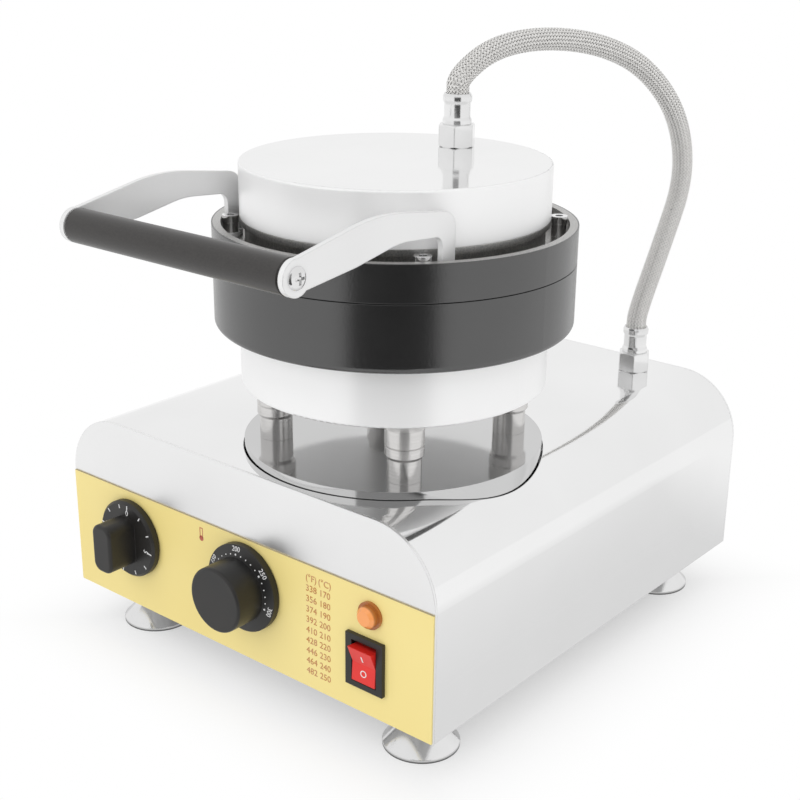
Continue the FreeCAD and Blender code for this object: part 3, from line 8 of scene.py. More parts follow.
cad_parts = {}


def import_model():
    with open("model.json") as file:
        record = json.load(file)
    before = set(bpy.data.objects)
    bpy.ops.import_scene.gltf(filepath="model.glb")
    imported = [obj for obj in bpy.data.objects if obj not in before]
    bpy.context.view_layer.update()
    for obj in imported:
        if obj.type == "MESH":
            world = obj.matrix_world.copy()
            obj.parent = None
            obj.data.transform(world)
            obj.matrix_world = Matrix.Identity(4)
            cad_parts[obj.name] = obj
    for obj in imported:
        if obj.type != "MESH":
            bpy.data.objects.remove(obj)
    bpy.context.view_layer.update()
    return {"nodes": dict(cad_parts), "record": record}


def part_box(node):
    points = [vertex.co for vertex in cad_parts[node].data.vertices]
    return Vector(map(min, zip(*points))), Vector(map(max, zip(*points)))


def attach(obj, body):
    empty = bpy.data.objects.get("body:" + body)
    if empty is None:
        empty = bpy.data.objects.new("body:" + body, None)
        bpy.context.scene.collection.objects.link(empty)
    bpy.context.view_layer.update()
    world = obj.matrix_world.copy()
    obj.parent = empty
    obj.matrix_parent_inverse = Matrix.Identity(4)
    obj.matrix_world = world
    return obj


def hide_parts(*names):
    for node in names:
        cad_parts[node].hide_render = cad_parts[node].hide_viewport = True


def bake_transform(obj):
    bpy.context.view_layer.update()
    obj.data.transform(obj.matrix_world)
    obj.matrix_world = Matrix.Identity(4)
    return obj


# Looks of a waffle cone maker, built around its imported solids. Metres, +Z up, front towards -Y.

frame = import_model()
nodes = frame["nodes"]
scene = bpy.context.scene

MM = 0.001


def middle(name):
    """Centre of a CAD node's box."""
    low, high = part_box(name)
    return (low + high) / 2


HEAD = middle("upper_cover")
RING_RADIUS = (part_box("lower_plate")[1].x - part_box("lower_plate")[0].x) / 2
# Height from which the lid's plate is bare metal inside its outer wall
BARE_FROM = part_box("upper_plate")[0].z + 8.9 * MM
PANEL_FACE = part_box("control_panel")[0].y


# Camera, at the photograph's viewing angle

def camera():
    """Camera with a focal length for a picture 800 pixels wide."""
    place = Vector((0.5155, -0.6100, 0.4416))
    look = Vector((-0.598, 0.7231, -0.3457)).normalized()
    roll = 0.011
    focal_pixels = 1392.0
    picture_pixels = 800
    data = bpy.data.cameras.new("camera")
    data.sensor_width = 36.0
    data.lens = focal_pixels * data.sensor_width / picture_pixels
    level = look.cross(Vector((0, 0, 1))).normalized()
    upright = level.cross(look)
    right = level * math.cos(roll) + upright * math.sin(roll)
    up = upright * math.cos(roll) - level * math.sin(roll)
    turn = Matrix((right, up, -look)).transposed().to_4x4()
    item = bpy.data.objects.new("camera", data)
    item.matrix_world = Matrix.Translation(place) @ turn
    scene.collection.objects.link(item)
    scene.camera = item


camera()


# Node trees, written as sums and calls

class Value:
    """A socket in a node tree. Maths on it adds Math nodes."""

    def __init__(self, graph, socket):
        self.graph = graph
        self.socket = socket

    def math(self, operation, *others):
        return self.graph.math(operation, self, *others)

    def __add__(self, other):
        return self.math("ADD", other)

    def __radd__(self, other):
        return self.math("ADD", other)

    def __sub__(self, other):
        return self.math("SUBTRACT", other)

    def __rsub__(self, other):
        return self.graph.math("SUBTRACT", other, self)

    def __mul__(self, other):
        return self.math("MULTIPLY", other)

    def __rmul__(self, other):
        return self.math("MULTIPLY", other)

    def __truediv__(self, other):
        return self.math("DIVIDE", other)

    def __rtruediv__(self, other):
        return self.graph.math("DIVIDE", other, self)

    def above(self, level):
        return self.math("GREATER_THAN", level)

    def below(self, level):
        return self.math("LESS_THAN", level)

    def smooth(self, start, end):
        """0 before start, 1 after end, with a smooth step between."""
        inputs = {"Value": self, "From Min": start, "From Max": end}
        return self.graph.add("ShaderNodeMapRange", {"interpolation_type": "SMOOTHSTEP"}, inputs)


class Graph:
    """A node tree that nodes are added to."""

    def __init__(self, tree):
        self.tree = tree

    def make(self, kind, settings=None, inputs=None):
        """A new node, with its settings set first and its sockets set or linked."""
        node = self.tree.nodes.new(kind)
        for name, setting in (settings or {}).items():
            setattr(node, name, setting)
        pairs = inputs.items() if isinstance(inputs, dict) else enumerate(inputs or [])
        for key, given in pairs:
            if isinstance(given, Value):
                self.tree.links.new(given.socket, node.inputs[key])
            else:
                node.inputs[key].default_value = given
        return node

    def add(self, kind, settings=None, inputs=None, output=0):
        """One output of a new node."""
        return Value(self, self.make(kind, settings, inputs).outputs[output])

    def math(self, operation, *numbers):
        return self.add("ShaderNodeMath", {"operation": operation}, numbers)

    def vector(self, operation, *vectors):
        return self.add("ShaderNodeVectorMath", {"operation": operation}, vectors)

    def scaled(self, vector, factor):
        return self.add("ShaderNodeVectorMath", {"operation": "SCALE"}, {0: vector, "Scale": factor})

    def ramp(self, factor, stops):
        """Colour ramp; stops are (place, colour)."""
        node = self.make("ShaderNodeValToRGB", None, [factor])
        elements = node.color_ramp.elements
        while len(elements) < len(stops):
            elements.new(1.0)
        for element, (place, colour) in zip(elements, stops):
            element.position = place
            element.color = (*colour, 1.0)
        return Value(self, node.outputs["Color"])

    def mix(self, factor, first, second):
        """Mix of two colours."""
        return self.add("ShaderNodeMix", {"data_type": "RGBA"}, {0: factor, 6: first, 7: second}, 2)

    def blend(self, factor, first, second):
        """Mix of two numbers."""
        return self.add("ShaderNodeMix", {"data_type": "FLOAT"}, {0: factor, 2: first, 3: second})


class Finish(Graph):
    """A material with one principled shader, patterned on the object's own coordinates."""

    def __init__(self, name, **constants):
        self.material = bpy.data.materials.new(name)
        self.material.use_nodes = True
        super().__init__(self.material.node_tree)
        self.shader = self.tree.nodes["Principled BSDF"]
        self.place = self.add("ShaderNodeTexCoord", None, None, "Object")
        self.feed(**constants)

    def split(self):
        """The three coordinates of a place on the piece."""
        node = self.make("ShaderNodeSeparateXYZ", None, [self.place])
        return [Value(self, socket) for socket in node.outputs]

    def away_from(self, centre, axis):
        """Distance from a line along axis X, Y or Z through a point."""
        total = 0.0
        for own, letter, number in zip(self.split(), "XYZ", centre):
            if letter != axis:
                total = (own - number) * (own - number) + total
        return total.math("SQRT")

    def noise(self, scale, detail=2.0, stretch=(1.0, 1.0, 1.0)):
        """Cloudy pattern, finer by a scale and stretched along the axes."""
        place = self.add("ShaderNodeMapping", None, {"Vector": self.place, "Scale": stretch})
        inputs = {"Vector": place, "Scale": scale, "Detail": detail}
        return self.add("ShaderNodeTexNoise", None, inputs, "Fac")

    def feed(self, **sockets):
        """Link or set sockets of the shader, and give back the material."""
        for name, given in sockets.items():
            socket = self.shader.inputs[name.replace("_", " ")]
            if isinstance(given, Value):
                self.tree.links.new(given.socket, socket)
            else:
                socket.default_value = given
        return self.material

    def bump(self, height, distance, strength, normal=None):
        """Normal of a surface that rises and falls with a pattern."""
        inputs = {"Height": height, "Distance": distance, "Strength": strength}
        if normal is not None:
            inputs["Normal"] = normal
        return self.add("ShaderNodeBump", None, inputs)

    def mottled(self, pattern, darkest, lightest):
        """Colour that wanders between two shades over a pattern."""
        return self.ramp(pattern, [(0.3, darkest), (0.7, lightest)])

    def soft_edge(self, radius):
        """Normal of edges that look rounded by a small radius."""
        return self.add("ShaderNodeBevel", {"samples": 4}, {"Radius": radius})


# Finishes

def grey(level):
    """A neutral colour."""
    return (level, level, level)


def sheet_steel(name, shades, rough):
    """Stainless sheet with faint clouds, slow waves and smears."""
    finish = Finish(name, Metallic=1.0)
    colour = finish.mottled(finish.noise(9.0, detail=3.0), *map(grey, shades))
    wave = finish.noise(14.0, detail=1.0)
    surface = finish.bump(wave, 0.4 * MM, strength=0.06, normal=finish.soft_edge(0.5 * MM))
    smear = finish.noise(60.0, stretch=(1.0, 1.0, 0.15))
    return finish.feed(Base_Color=colour, Roughness=finish.blend(smear, *rough), Normal=surface)


def head_steel(name, mirror_above, shades=(0.90, 0.94)):
    """Stainless of cover, cup and handle bars: satin, and a mirror above a height."""
    finish = Finish(name)
    cloud = finish.noise(12.0, detail=3.0, stretch=(1.0, 1.0, 0.1))
    mirror = finish.split()[2].above(mirror_above)
    colour = finish.mottled(cloud, *map(grey, shades))
    satin = finish.blend(cloud, 0.26, 0.34)
    return finish.feed(Base_Color=colour, Roughness=finish.blend(mirror, satin, 0.08),
                       Metallic=finish.blend(mirror, 0.3, 1.0), Normal=finish.soft_edge(0.8 * MM))


def chrome(name, shades, edge):
    """Bright plating with edges rounded by a radius."""
    finish = Finish(name, Metallic=1.0)
    colour = finish.mottled(finish.noise(40.0), *map(grey, shades))
    rough = finish.blend(finish.noise(120.0), 0.06, 0.14)
    return finish.feed(Base_Color=colour, Roughness=rough, Normal=finish.soft_edge(edge))


def foot_chrome():
    """Chrome of the bell feet, dull and painted dark along the edge on the floor, as a contact shadow."""
    finish = Finish("foot_chrome", Metallic=1.0)
    painted_shadow_full_until, painted_shadow_gone_from = 0.4 * MM, 1.6 * MM
    bright = finish.mottled(finish.noise(40.0), grey(0.76), grey(0.86))
    # Painted contact shadow: near the floor the colour darkens to 0.16 grey and the chrome turns rougher.
    edge = 1.0 - finish.split()[2].smooth(painted_shadow_full_until, painted_shadow_gone_from)
    return finish.feed(Base_Color=finish.mix(edge, bright, (*grey(0.16), 1.0)),
                       Roughness=finish.blend(edge, 0.14, 0.4), Normal=finish.soft_edge(0.8 * MM))


def turned_steel():
    """Steel of the pillars, with fine lines round them."""
    finish = Finish("turned_steel", Metallic=1.0)
    lines = finish.noise(1.0, stretch=(20.0, 20.0, 6000.0))
    colour = finish.mottled(lines, (0.62, 0.61, 0.60), (0.74, 0.73, 0.72))
    wave = finish.bump(lines, 0.03 * MM, strength=0.35, normal=finish.soft_edge(0.4 * MM))
    return finish.feed(Base_Color=colour, Roughness=finish.blend(lines, 0.18, 0.28), Normal=wave)


def plain_steel():
    """Dull steel of the hinge, the inner plates and the bolts."""
    finish = Finish("plain_steel", Metallic=1.0)
    cloud = finish.noise(70.0, detail=4.0)
    colour = finish.mottled(cloud, grey(0.46), grey(0.60))
    grain = finish.bump(finish.noise(900.0), 0.1 * MM, strength=0.3, normal=finish.soft_edge(0.4 * MM))
    return finish.feed(Base_Color=colour, Roughness=finish.blend(cloud, 0.3, 0.45), Normal=grain)


def yellow_panel():
    """Yellow panel with a thin brown line of painted shade along its top edge, for the shadow of the seam
    there.
    """
    finish = Finish("yellow_panel", Coat_Weight=0.1, Coat_Roughness=0.3)
    line_width = 0.25 * MM
    seam_shade_brown = (0.46, 0.38, 0.20, 1.0)
    cloud = finish.noise(7.0, detail=3.0)
    yellow = finish.mottled(cloud, (0.86, 0.70, 0.25), (0.90, 0.75, 0.30))
    # Painted shade: the top 0.25 mm of the panel is brown, standing in for the shadow in the seam above it.
    line = finish.split()[2].above(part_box("control_panel")[1].z - line_width)
    grain = finish.bump(finish.noise(1500.0), 0.05 * MM, strength=0.15)
    return finish.feed(Base_Color=finish.mix(line, yellow, seam_shade_brown),
                       Roughness=finish.blend(cloud, 0.4, 0.5), Normal=grain)


def black_cast():
    """Black coated casting, bare inside the lid's outer wall."""
    finish = Finish("black_cast", Specular_IOR_Level=1.0, IOR=1.62)
    painted_edge = 0.8 * MM
    grain = finish.noise(1100.0, detail=3.0)
    cloud = finish.noise(25.0, detail=3.0)
    height = finish.split()[2]
    across = finish.away_from(HEAD, "Z")
    bare = across.below(RING_RADIUS - painted_edge) * height.above(BARE_FROM)
    paint = finish.mottled(cloud, grey(0.006), grey(0.012))
    metal = finish.mottled(grain, grey(0.38), (0.58, 0.57, 0.55))
    rough = finish.blend(bare, finish.blend(grain, 0.19, 0.27), 0.33)
    skin = finish.bump(grain, 0.25 * MM, strength=0.24, normal=finish.soft_edge(0.6 * MM))
    return finish.feed(Base_Color=finish.mix(bare, paint, metal), Roughness=rough, Metallic=bare, Normal=skin)


def moulding(name, colours, rough):
    """Moulded plastic with a fine grain."""
    finish = Finish(name)
    cloud = finish.noise(30.0, detail=3.0)
    colour = finish.mottled(cloud, *colours)
    grain = finish.bump(finish.noise(1600.0), 0.08 * MM, strength=0.2, normal=finish.soft_edge(0.6 * MM))
    return finish.feed(Base_Color=colour, Roughness=finish.blend(cloud, *rough), Normal=grain)


def grip_black():
    """Black sleeve of the grip, with its grain drawn out along it."""
    finish = Finish("grip_black")
    grain = finish.noise(1.0, detail=3.0, stretch=(700.0, 1100.0, 1100.0))
    colour = finish.mottled(grain, (0.026, 0.024, 0.023), (0.036, 0.033, 0.031))
    return finish.feed(Base_Color=colour, Roughness=finish.blend(grain, 0.26, 0.36),
                       Normal=finish.bump(grain, 0.12 * MM, strength=0.2))


def amber_lens():
    """Amber lens with a darker rim."""
    finish = Finish("amber_lens", Coat_Weight=0.5, Coat_Roughness=0.05)
    ramp_radius = 8.0 * MM
    across = finish.away_from(middle("indicator_lens"), "Y") / ramp_radius
    colour = finish.ramp(across, [(0.70, (0.92, 0.35, 0.10)), (0.78, (0.42, 0.13, 0.02))])
    return finish.feed(Base_Color=colour, Roughness=finish.blend(finish.noise(300.0), 0.15, 0.25),
                       Normal=finish.soft_edge(0.6 * MM))


def insulation_wool():
    """Pale mineral wool."""
    finish = Finish("insulation_wool")
    tuft = finish.noise(400.0, detail=4.0)
    colour = finish.mottled(tuft, (0.60, 0.57, 0.50), (0.80, 0.78, 0.72))
    return finish.feed(Base_Color=colour, Roughness=finish.blend(tuft, 0.85, 1.0),
                       Normal=finish.bump(tuft, 1.0 * MM, strength=0.6))


def heater_sheath():
    """Steel sheath, browned by heat."""
    finish = Finish("heater_sheath", Metallic=1.0)
    cloud = finish.noise(120.0, detail=4.0)
    colour = finish.mottled(cloud, (0.16, 0.14, 0.12), (0.34, 0.31, 0.28))
    return finish.feed(Base_Color=colour, Roughness=finish.blend(cloud, 0.4, 0.6))


def braid_wire():
    """Bright wire ribbons over a darker inside, with ribbon edges and core painted 0.64 grey as the shade in
    the gaps between wires; the attribute strand runs from -1 to 1 across a ribbon.
    """
    finish = Finish("braid_wire", Metallic=1.0)
    wires_in_ribbon = 4.0
    gap_shade_grey = (0.64, 0.63, 0.62, 1.0)
    strand = finish.add("ShaderNodeAttribute", {"attribute_name": "strand"}, None, "Fac")
    wires = (strand * wires_in_ribbon * math.pi).math("SINE")
    bright = finish.mottled(finish.noise(600.0), (0.80, 0.79, 0.77), (0.93, 0.92, 0.90))
    # Painted shade: towards the ribbon edges, and on the core where strand is 1, the colour turns to the
    # darker gap grey.
    gap_shade = strand.math("ABSOLUTE").smooth(0.75, 1.0)
    return finish.feed(Base_Color=finish.mix(gap_shade, bright, gap_shade_grey),
                       Roughness=finish.blend(finish.noise(200.0), 0.25, 0.38),
                       Normal=finish.bump(wires, 0.1 * MM, strength=0.4))


def ink(name, colour):
    """Printing ink, slightly uneven."""
    finish = Finish(name)
    cloud = finish.noise(500.0)
    paler = tuple(0.8 * part + 0.16 for part in colour)
    return finish.feed(Base_Color=finish.ramp(cloud, [(0.35, colour), (0.75, paler)]),
                       Roughness=finish.blend(cloud, 0.45, 0.6))


BLACKS = (grey(0.010), (0.020, 0.018, 0.016))
REDS = ((0.70, 0.016, 0.012), (0.82, 0.030, 0.022))
FINISHES = {
    "polished_steel": sheet_steel("polished_steel", shades=(0.88, 0.92), rough=(0.05, 0.11)),
    "chrome_plate": chrome("chrome_plate", shades=(0.84, 0.92), edge=0.4 * MM),
    "turned_steel": turned_steel(),
    "plain_steel": plain_steel(),
    "yellow_panel": yellow_panel(),
    "black_cast": black_cast(),
    "black_plastic": moulding("black_plastic", BLACKS, rough=(0.34, 0.46)),
    "grip_black": grip_black(),
    "red_plastic": moulding("red_plastic", REDS, rough=(0.3, 0.4)),
    "amber_lens": amber_lens(),
    "wool": insulation_wool(),
    "heater_sheath": heater_sheath(),
    "braid": braid_wire(),
}
FITTING_CHROME = chrome("fitting_chrome", shades=(0.76, 0.86), edge=1.1 * MM)
SCREW_CHROME = chrome("screw_chrome", shades=(0.74, 0.84), edge=0.3 * MM)
FOOT_CHROME = foot_chrome()
COVER_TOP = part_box("upper_cover")[1].z
BRACKET_STEEL = head_steel("bracket_steel", COVER_TOP, shades=(0.80, 0.85))
WHITE_INK = ink("white_ink", grey(0.80))
PRINT_INK = ink("print_ink", (0.50, 0.18, 0.03))
RED_INK = ink("red_ink", (0.50, 0.10, 0.05))
OWN_FINISH = {
    "front_plate": sheet_steel("front_steel", shades=(0.86, 0.90), rough=(0.26, 0.34)),
    "drum_pedestal": sheet_steel("drum_steel", shades=(0.60, 0.66), rough=(0.06, 0.12)),
    "upper_cover": head_steel("cover_steel", COVER_TOP - 0.3 * MM),
    "lower_cup": head_steel("cup_steel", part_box("lower_cup")[1].z),
    "handle_bracket_left": BRACKET_STEEL,
    "handle_bracket_right": BRACKET_STEEL,
    "hose_ferrule_top": FITTING_CHROME,
    "hose_ferrule_base": FITTING_CHROME,
    "foot_front_left": FOOT_CHROME,
    "foot_front_right": FOOT_CHROME,
    "foot_rear_left": FOOT_CHROME,
    "foot_rear_right": FOOT_CHROME,
}


def dress_nodes():
    """Give every CAD node its own finish or that of its slot."""
    for row in frame["record"]["subparts"]:
        name = row["node"]
        mesh = nodes[name].data
        mesh.materials.clear()
        mesh.materials.append(OWN_FINISH.get(name, FINISHES[row["material_slot"]]))


dress_nodes()


# Braided hose, along the route that the solid tube follows

HOSE_ROUTE = [
    (0.0385, 0.0142, 0.3258), (0.0385, 0.0142, 0.3345), (0.0385, 0.0142, 0.3433), (0.0446, 0.0381, 0.3583),
    (0.0542, 0.0753, 0.3618), (0.0656, 0.1200, 0.3553), (0.0752, 0.1573, 0.3388), (0.0828, 0.1871, 0.3077),
    (0.0853, 0.1968, 0.2677), (0.0813, 0.1811, 0.2257), (0.0767, 0.1632, 0.1817), (0.0767, 0.1632, 0.1725),
    (0.0767, 0.1632, 0.1637),
]
HOSE_DIAMETER = 13.0 * MM
HOSE_LENGTH = 364.0 * MM


def plain_mesh(item):
    """The finished shape of an object as a mesh of its own."""
    depsgraph = bpy.context.evaluated_depsgraph_get()
    return bpy.data.meshes.new_from_object(item.evaluated_get(depsgraph))


def new_object(name, data):
    """A new object in the scene, at the origin."""
    item = bpy.data.objects.new(name, data)
    scene.collection.objects.link(item)
    return item


def hose_route():
    """The hose's middle line as a smooth curve."""
    curve = bpy.data.curves.new("hose_route", "CURVE")
    curve.dimensions = "3D"
    spline = curve.splines.new("NURBS")
    spline.points.add(len(HOSE_ROUTE) - 1)
    for point, place in zip(spline.points, HOSE_ROUTE):
        point.co = (*place, 1.0)
    spline.order_u = 3
    spline.use_endpoint_u = True
    spline.resolution_u = 16
    return new_object("hose_route", curve)


def braid_tree():
    """Wire ribbons that wind both ways round a curve, each over one and under one, on a darker core painted
    with the shade of the gaps.
    """
    core_depth = 2.4
    tree = bpy.data.node_groups.new("braid", "GeometryNodeTree")
    sockets = [("Geometry", "NodeSocketGeometry"), ("Route", "NodeSocketObject"),
               ("Radius", "NodeSocketFloat"), ("Ribbon", "NodeSocketFloat"), ("Lift", "NodeSocketFloat"),
               ("Carriers", "NodeSocketInt"), ("Turns", "NodeSocketFloat"), ("Steps", "NodeSocketInt"),
               ("Material", "NodeSocketMaterial")]
    for name, kind in sockets:
        tree.interface.new_socket(name, in_out="INPUT", socket_type=kind)
    tree.interface.new_socket("Geometry", in_out="OUTPUT", socket_type="NodeSocketGeometry")
    graph = Graph(tree)
    group = graph.make("NodeGroupInput")
    given = {name: Value(graph, group.outputs[name]) for name, kind in sockets}
    route = graph.add("GeometryNodeObjectInfo", None, {"Object": given["Route"]}, "Geometry")
    carriers = given["Carriers"]

    strip = graph.add("GeometryNodeMeshGrid", None,
                      {"Size X": 1.0, "Size Y": 1.0, "Vertices X": given["Steps"], "Vertices Y": 3})
    points = graph.add("GeometryNodePoints", None, {"Count": carriers * 2.0})
    index = graph.add("GeometryNodeInputIndex")
    marked = graph.add("GeometryNodeStoreNamedAttribute", {"data_type": "INT", "domain": "POINT"},
                       {"Geometry": points, "Name": "ribbon", "Value": index})
    strips = graph.add("GeometryNodeRealizeInstances", None, [graph.add(
        "GeometryNodeInstanceOnPoints", None, {"Points": marked, "Instance": strip})])

    number = graph.add("GeometryNodeInputNamedAttribute", {"data_type": "INT"}, {"Name": "ribbon"})
    here = graph.make("ShaderNodeSeparateXYZ", None, [graph.add("GeometryNodeInputPosition")])
    along = Value(graph, here.outputs["X"]) + 0.5
    across = Value(graph, here.outputs["Y"]) * 2.0
    way = 1.0 - 2.0 * (number / carriers).math("FLOOR")
    carrier = number.math("MODULO", carriers)
    wound = way * along * given["Turns"]
    half_angle = given["Ribbon"] / given["Radius"] * 0.5
    angle = (carrier / carriers + wound) * (2.0 * math.pi) + across * half_angle
    crossing = carrier * 2.0 + carriers * wound * 2.0
    lift = way * given["Lift"] * (crossing * math.pi).math("COSINE")
    crown = across * across * given["Lift"] * 0.5
    radius = given["Radius"] - given["Lift"] + lift - crown

    sample = graph.make("GeometryNodeSampleCurve", {"mode": "FACTOR"}, {"Curves": route, "Factor": along})
    spot, tangent, normal = (Value(graph, sample.outputs[name]) for name in ("Position", "Tangent", "Normal"))
    side = graph.vector("CROSS_PRODUCT", tangent, normal)
    outward = graph.vector("ADD", graph.scaled(normal, radius * angle.math("COSINE")),
                           graph.scaled(side, radius * angle.math("SINE")))
    flat_strips = graph.add("GeometryNodeStoreNamedAttribute", {"data_type": "FLOAT", "domain": "POINT"},
                            {"Geometry": strips, "Name": "strand", "Value": across})
    wound_strips = graph.add("GeometryNodeSetPosition", None,
                             {"Geometry": flat_strips, "Position": graph.vector("ADD", spot, outward)})

    circle = graph.add("GeometryNodeCurvePrimitiveCircle", None,
                       {"Resolution": 24, "Radius": given["Radius"] - given["Lift"] * core_depth})
    core = graph.add("GeometryNodeCurveToMesh", None,
                     {"Curve": route, "Profile Curve": circle, "Fill Caps": True})
    # The core is marked with strand 1, which the braid finish paints in the darker gap shade.
    core_in_painted_shade = graph.add("GeometryNodeStoreNamedAttribute", {"data_type": "FLOAT", "domain": "POINT"},
                          {"Geometry": core, "Name": "strand", "Value": 1.0})
    joined = graph.make("GeometryNodeJoinGeometry")
    for part in (core_in_painted_shade, wound_strips):
        tree.links.new(part.socket, joined.inputs["Geometry"])
    smooth = graph.add("GeometryNodeSetShadeSmooth", None, [Value(graph, joined.outputs["Geometry"])])
    real = graph.add("GeometryNodeRealizeInstances", None, [smooth])
    dressed = graph.add("GeometryNodeSetMaterial", None, {"Geometry": real, "Material": given["Material"]})
    graph.make("NodeGroupOutput", None, [dressed])
    return tree


def apply_tree(name, tree, settings):
    """A new object with a plain mesh made by a node tree."""
    item = new_object(name, bpy.data.meshes.new(name))
    modifier = item.modifiers.new(name, "NODES")
    modifier.node_group = tree
    for socket in tree.interface.items_tree:
        if socket.in_out == "INPUT" and socket.name in settings:
            modifier[socket.identifier] = settings[socket.name]
    mesh = plain_mesh(item)
    item.modifiers.remove(modifier)
    item.data = mesh
    return item


def hose():
    """The braided hose, along the route of the solid tube that it stands for."""
    route = hose_route()
    path = [tuple(vertex.co) for vertex in plain_mesh(route).vertices]
    turns = HOSE_LENGTH / (math.pi * HOSE_DIAMETER)
    piece = apply_tree("hose_braid", braid_tree(), {
        "Route": route, "Radius": HOSE_DIAMETER / 2, "Ribbon": 1.6 * MM, "Lift": 0.2 * MM, "Carriers": 18,
        "Turns": turns, "Steps": 1300, "Material": FINISHES["braid"]})
    bpy.data.objects.remove(route)
    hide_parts("hose")
    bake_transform(piece)


hose()


# Carved fasteners: domed handle screws with cross recesses, and chamfered hose nuts

ROUND_SEGMENTS = 48
SHARP_ANGLE = math.radians(25)


def finished(shape, name):
    """A mesh from a bmesh, which is freed."""
    mesh = bpy.data.meshes.new(name)
    shape.to_mesh(mesh)
    shape.free()
    return mesh


def solid_of_boxes(boxes):
    """One mesh from boxes given as (centre, size)."""
    shape = bmesh.new()
    for centre, size in boxes:
        matrix = Matrix.Translation(centre) @ Matrix.Diagonal((*size, 1.0))
        bmesh.ops.create_cube(shape, size=1.0, matrix=matrix)
    return finished(shape, "boxes")


def solid_of_node(node):
    """Copy of a CAD node's mesh, in place."""
    mesh = nodes[node].data.copy()
    mesh.transform(nodes[node].matrix_world)
    mesh.materials.clear()
    return mesh


def carved(name, node, mesh, operation, cutter, body, finish):
    """A mesh cut by another one, as a piece that stands for a CAD node."""
    mesh.materials.append(finish)
    piece = new_object(name, mesh)
    tool = new_object("cutter", cutter)
    modifier = piece.modifiers.new("cut", "BOOLEAN")
    modifier.operation = operation
    modifier.object = tool
    modifier.use_self = True
    shape = plain_mesh(piece)
    shape.shade_smooth()
    shape.set_sharp_from_angle(angle=SHARP_ANGLE)
    piece.modifiers.remove(modifier)
    piece.data = shape
    bpy.data.objects.remove(tool)
    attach(piece, body)
    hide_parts(node)


def cross_screws():
    """Domed heads on the outside of both brackets, with a cross recess in each."""
    low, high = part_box("handle_screws")
    spot = middle("handle_screws")
    radius = (high.z - low.z) / 2
    long, narrow, deep = 5.6 * MM, 1.3 * MM, 1.3 * MM
    heads = bmesh.new()
    boxes = []
    left_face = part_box("handle_bracket_left")[0].x
    right_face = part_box("handle_bracket_right")[1].x
    for face, tip in ((left_face, low.x), (right_face, high.x)):
        dome = Matrix.Diagonal((abs(tip - face), radius, radius, 1.0))
        matrix = Matrix.Translation((face, spot.y, spot.z)) @ dome
        bmesh.ops.create_uvsphere(heads, u_segments=ROUND_SEGMENTS, v_segments=ROUND_SEGMENTS // 2,
                                  radius=1.0, matrix=matrix)
        place = Vector((tip, spot.y, spot.z))
        boxes += [(place, (2 * deep, long, narrow)), (place, (2 * deep, narrow, long))]
    carved("cross_screws", "handle_screws", finished(heads, "heads"), "DIFFERENCE", solid_of_boxes(boxes),
           "lid", SCREW_CHROME)


def chamfered_nut(name, node, body):
    """Nut whose corners are turned off at both ends."""
    low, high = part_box(node)
    corner = (high.x - low.x) / 2
    flat = (high.y - low.y) / 2
    chamfer_slope = 0.6
    chamfer = (corner - flat) * chamfer_slope
    centre = middle(node)
    shape = bmesh.new()
    rings = [(flat, low.z), (corner, low.z + chamfer), (corner, high.z - chamfer), (flat, high.z)]
    loops = []
    for radius, height in rings:
        matrix = Matrix.Translation((centre.x, centre.y, height))
        circle = bmesh.ops.create_circle(shape, segments=ROUND_SEGMENTS, radius=radius, matrix=matrix)
        loops.append(circle["verts"])
    for below, above in zip(loops, loops[1:]):
        for index in range(len(below)):
            shape.faces.new((below[index - 1], below[index], above[index], above[index - 1]))
    shape.faces.new(reversed(loops[0]))
    shape.faces.new(loops[-1])
    bmesh.ops.recalc_face_normals(shape, faces=shape.faces)
    carved(name, node, solid_of_node(node), "INTERSECT", finished(shape, "nut_limits"), body, FITTING_CHROME)


cross_screws()
chamfered_nut("top_nut", "hose_nut_top", "lid")
chamfered_nut("base_nut", "hose_nut_base", "base")


# Printed marks: plain numbers on both dials, a table on the panel, I and O on the switch

INK_DEPTH = 0.12 * MM
ACROSS = Vector((1.0, 0.0, 0.0))
UPWARD = Vector((0.0, 0.0, 1.0))


def lay(mesh, place, right, up):
    """Turn a mesh drawn on the XY plane onto a face."""
    turn = Matrix((right, up, right.cross(up))).transposed().to_4x4()
    mesh.transform(Matrix.Translation(place) @ turn)
    return mesh


def letters(words, height, place, right, up):
    """Numbers or letters in ink, with capitals of a height."""
    capital_share = 0.7
    curve = bpy.data.curves.new("letters", "FONT")
    curve.body = words
    curve.size = height / capital_share
    curve.align_x = "CENTER"
    curve.align_y = "CENTER"
    curve.extrude = INK_DEPTH
    curve.resolution_u = 3
    item = new_object("letters", curve)
    mesh = plain_mesh(item)
    bpy.data.objects.remove(item)
    return lay(mesh, place, right, up)


def stroke(width, height, place, right, up):
    """A straight line of ink."""
    return lay(solid_of_boxes([(Vector(), (width, height, 2 * INK_DEPTH))]), place, right, up)


def dot(radius, place, right, up):
    """A round spot of ink."""
    shape = bmesh.new()
    bmesh.ops.create_cone(shape, cap_ends=True, segments=12, radius1=radius, radius2=radius,
                          depth=2 * INK_DEPTH)
    return lay(finished(shape, "dot"), place, right, up)


def printed(name, meshes, ink_used, body):
    """One piece from several printed meshes."""
    shape = bmesh.new()
    for mesh in meshes:
        shape.from_mesh(mesh)
        bpy.data.meshes.remove(mesh)
    whole = finished(shape, name)
    whole.materials.append(ink_used)
    piece = new_object(name, whole)
    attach(piece, body)


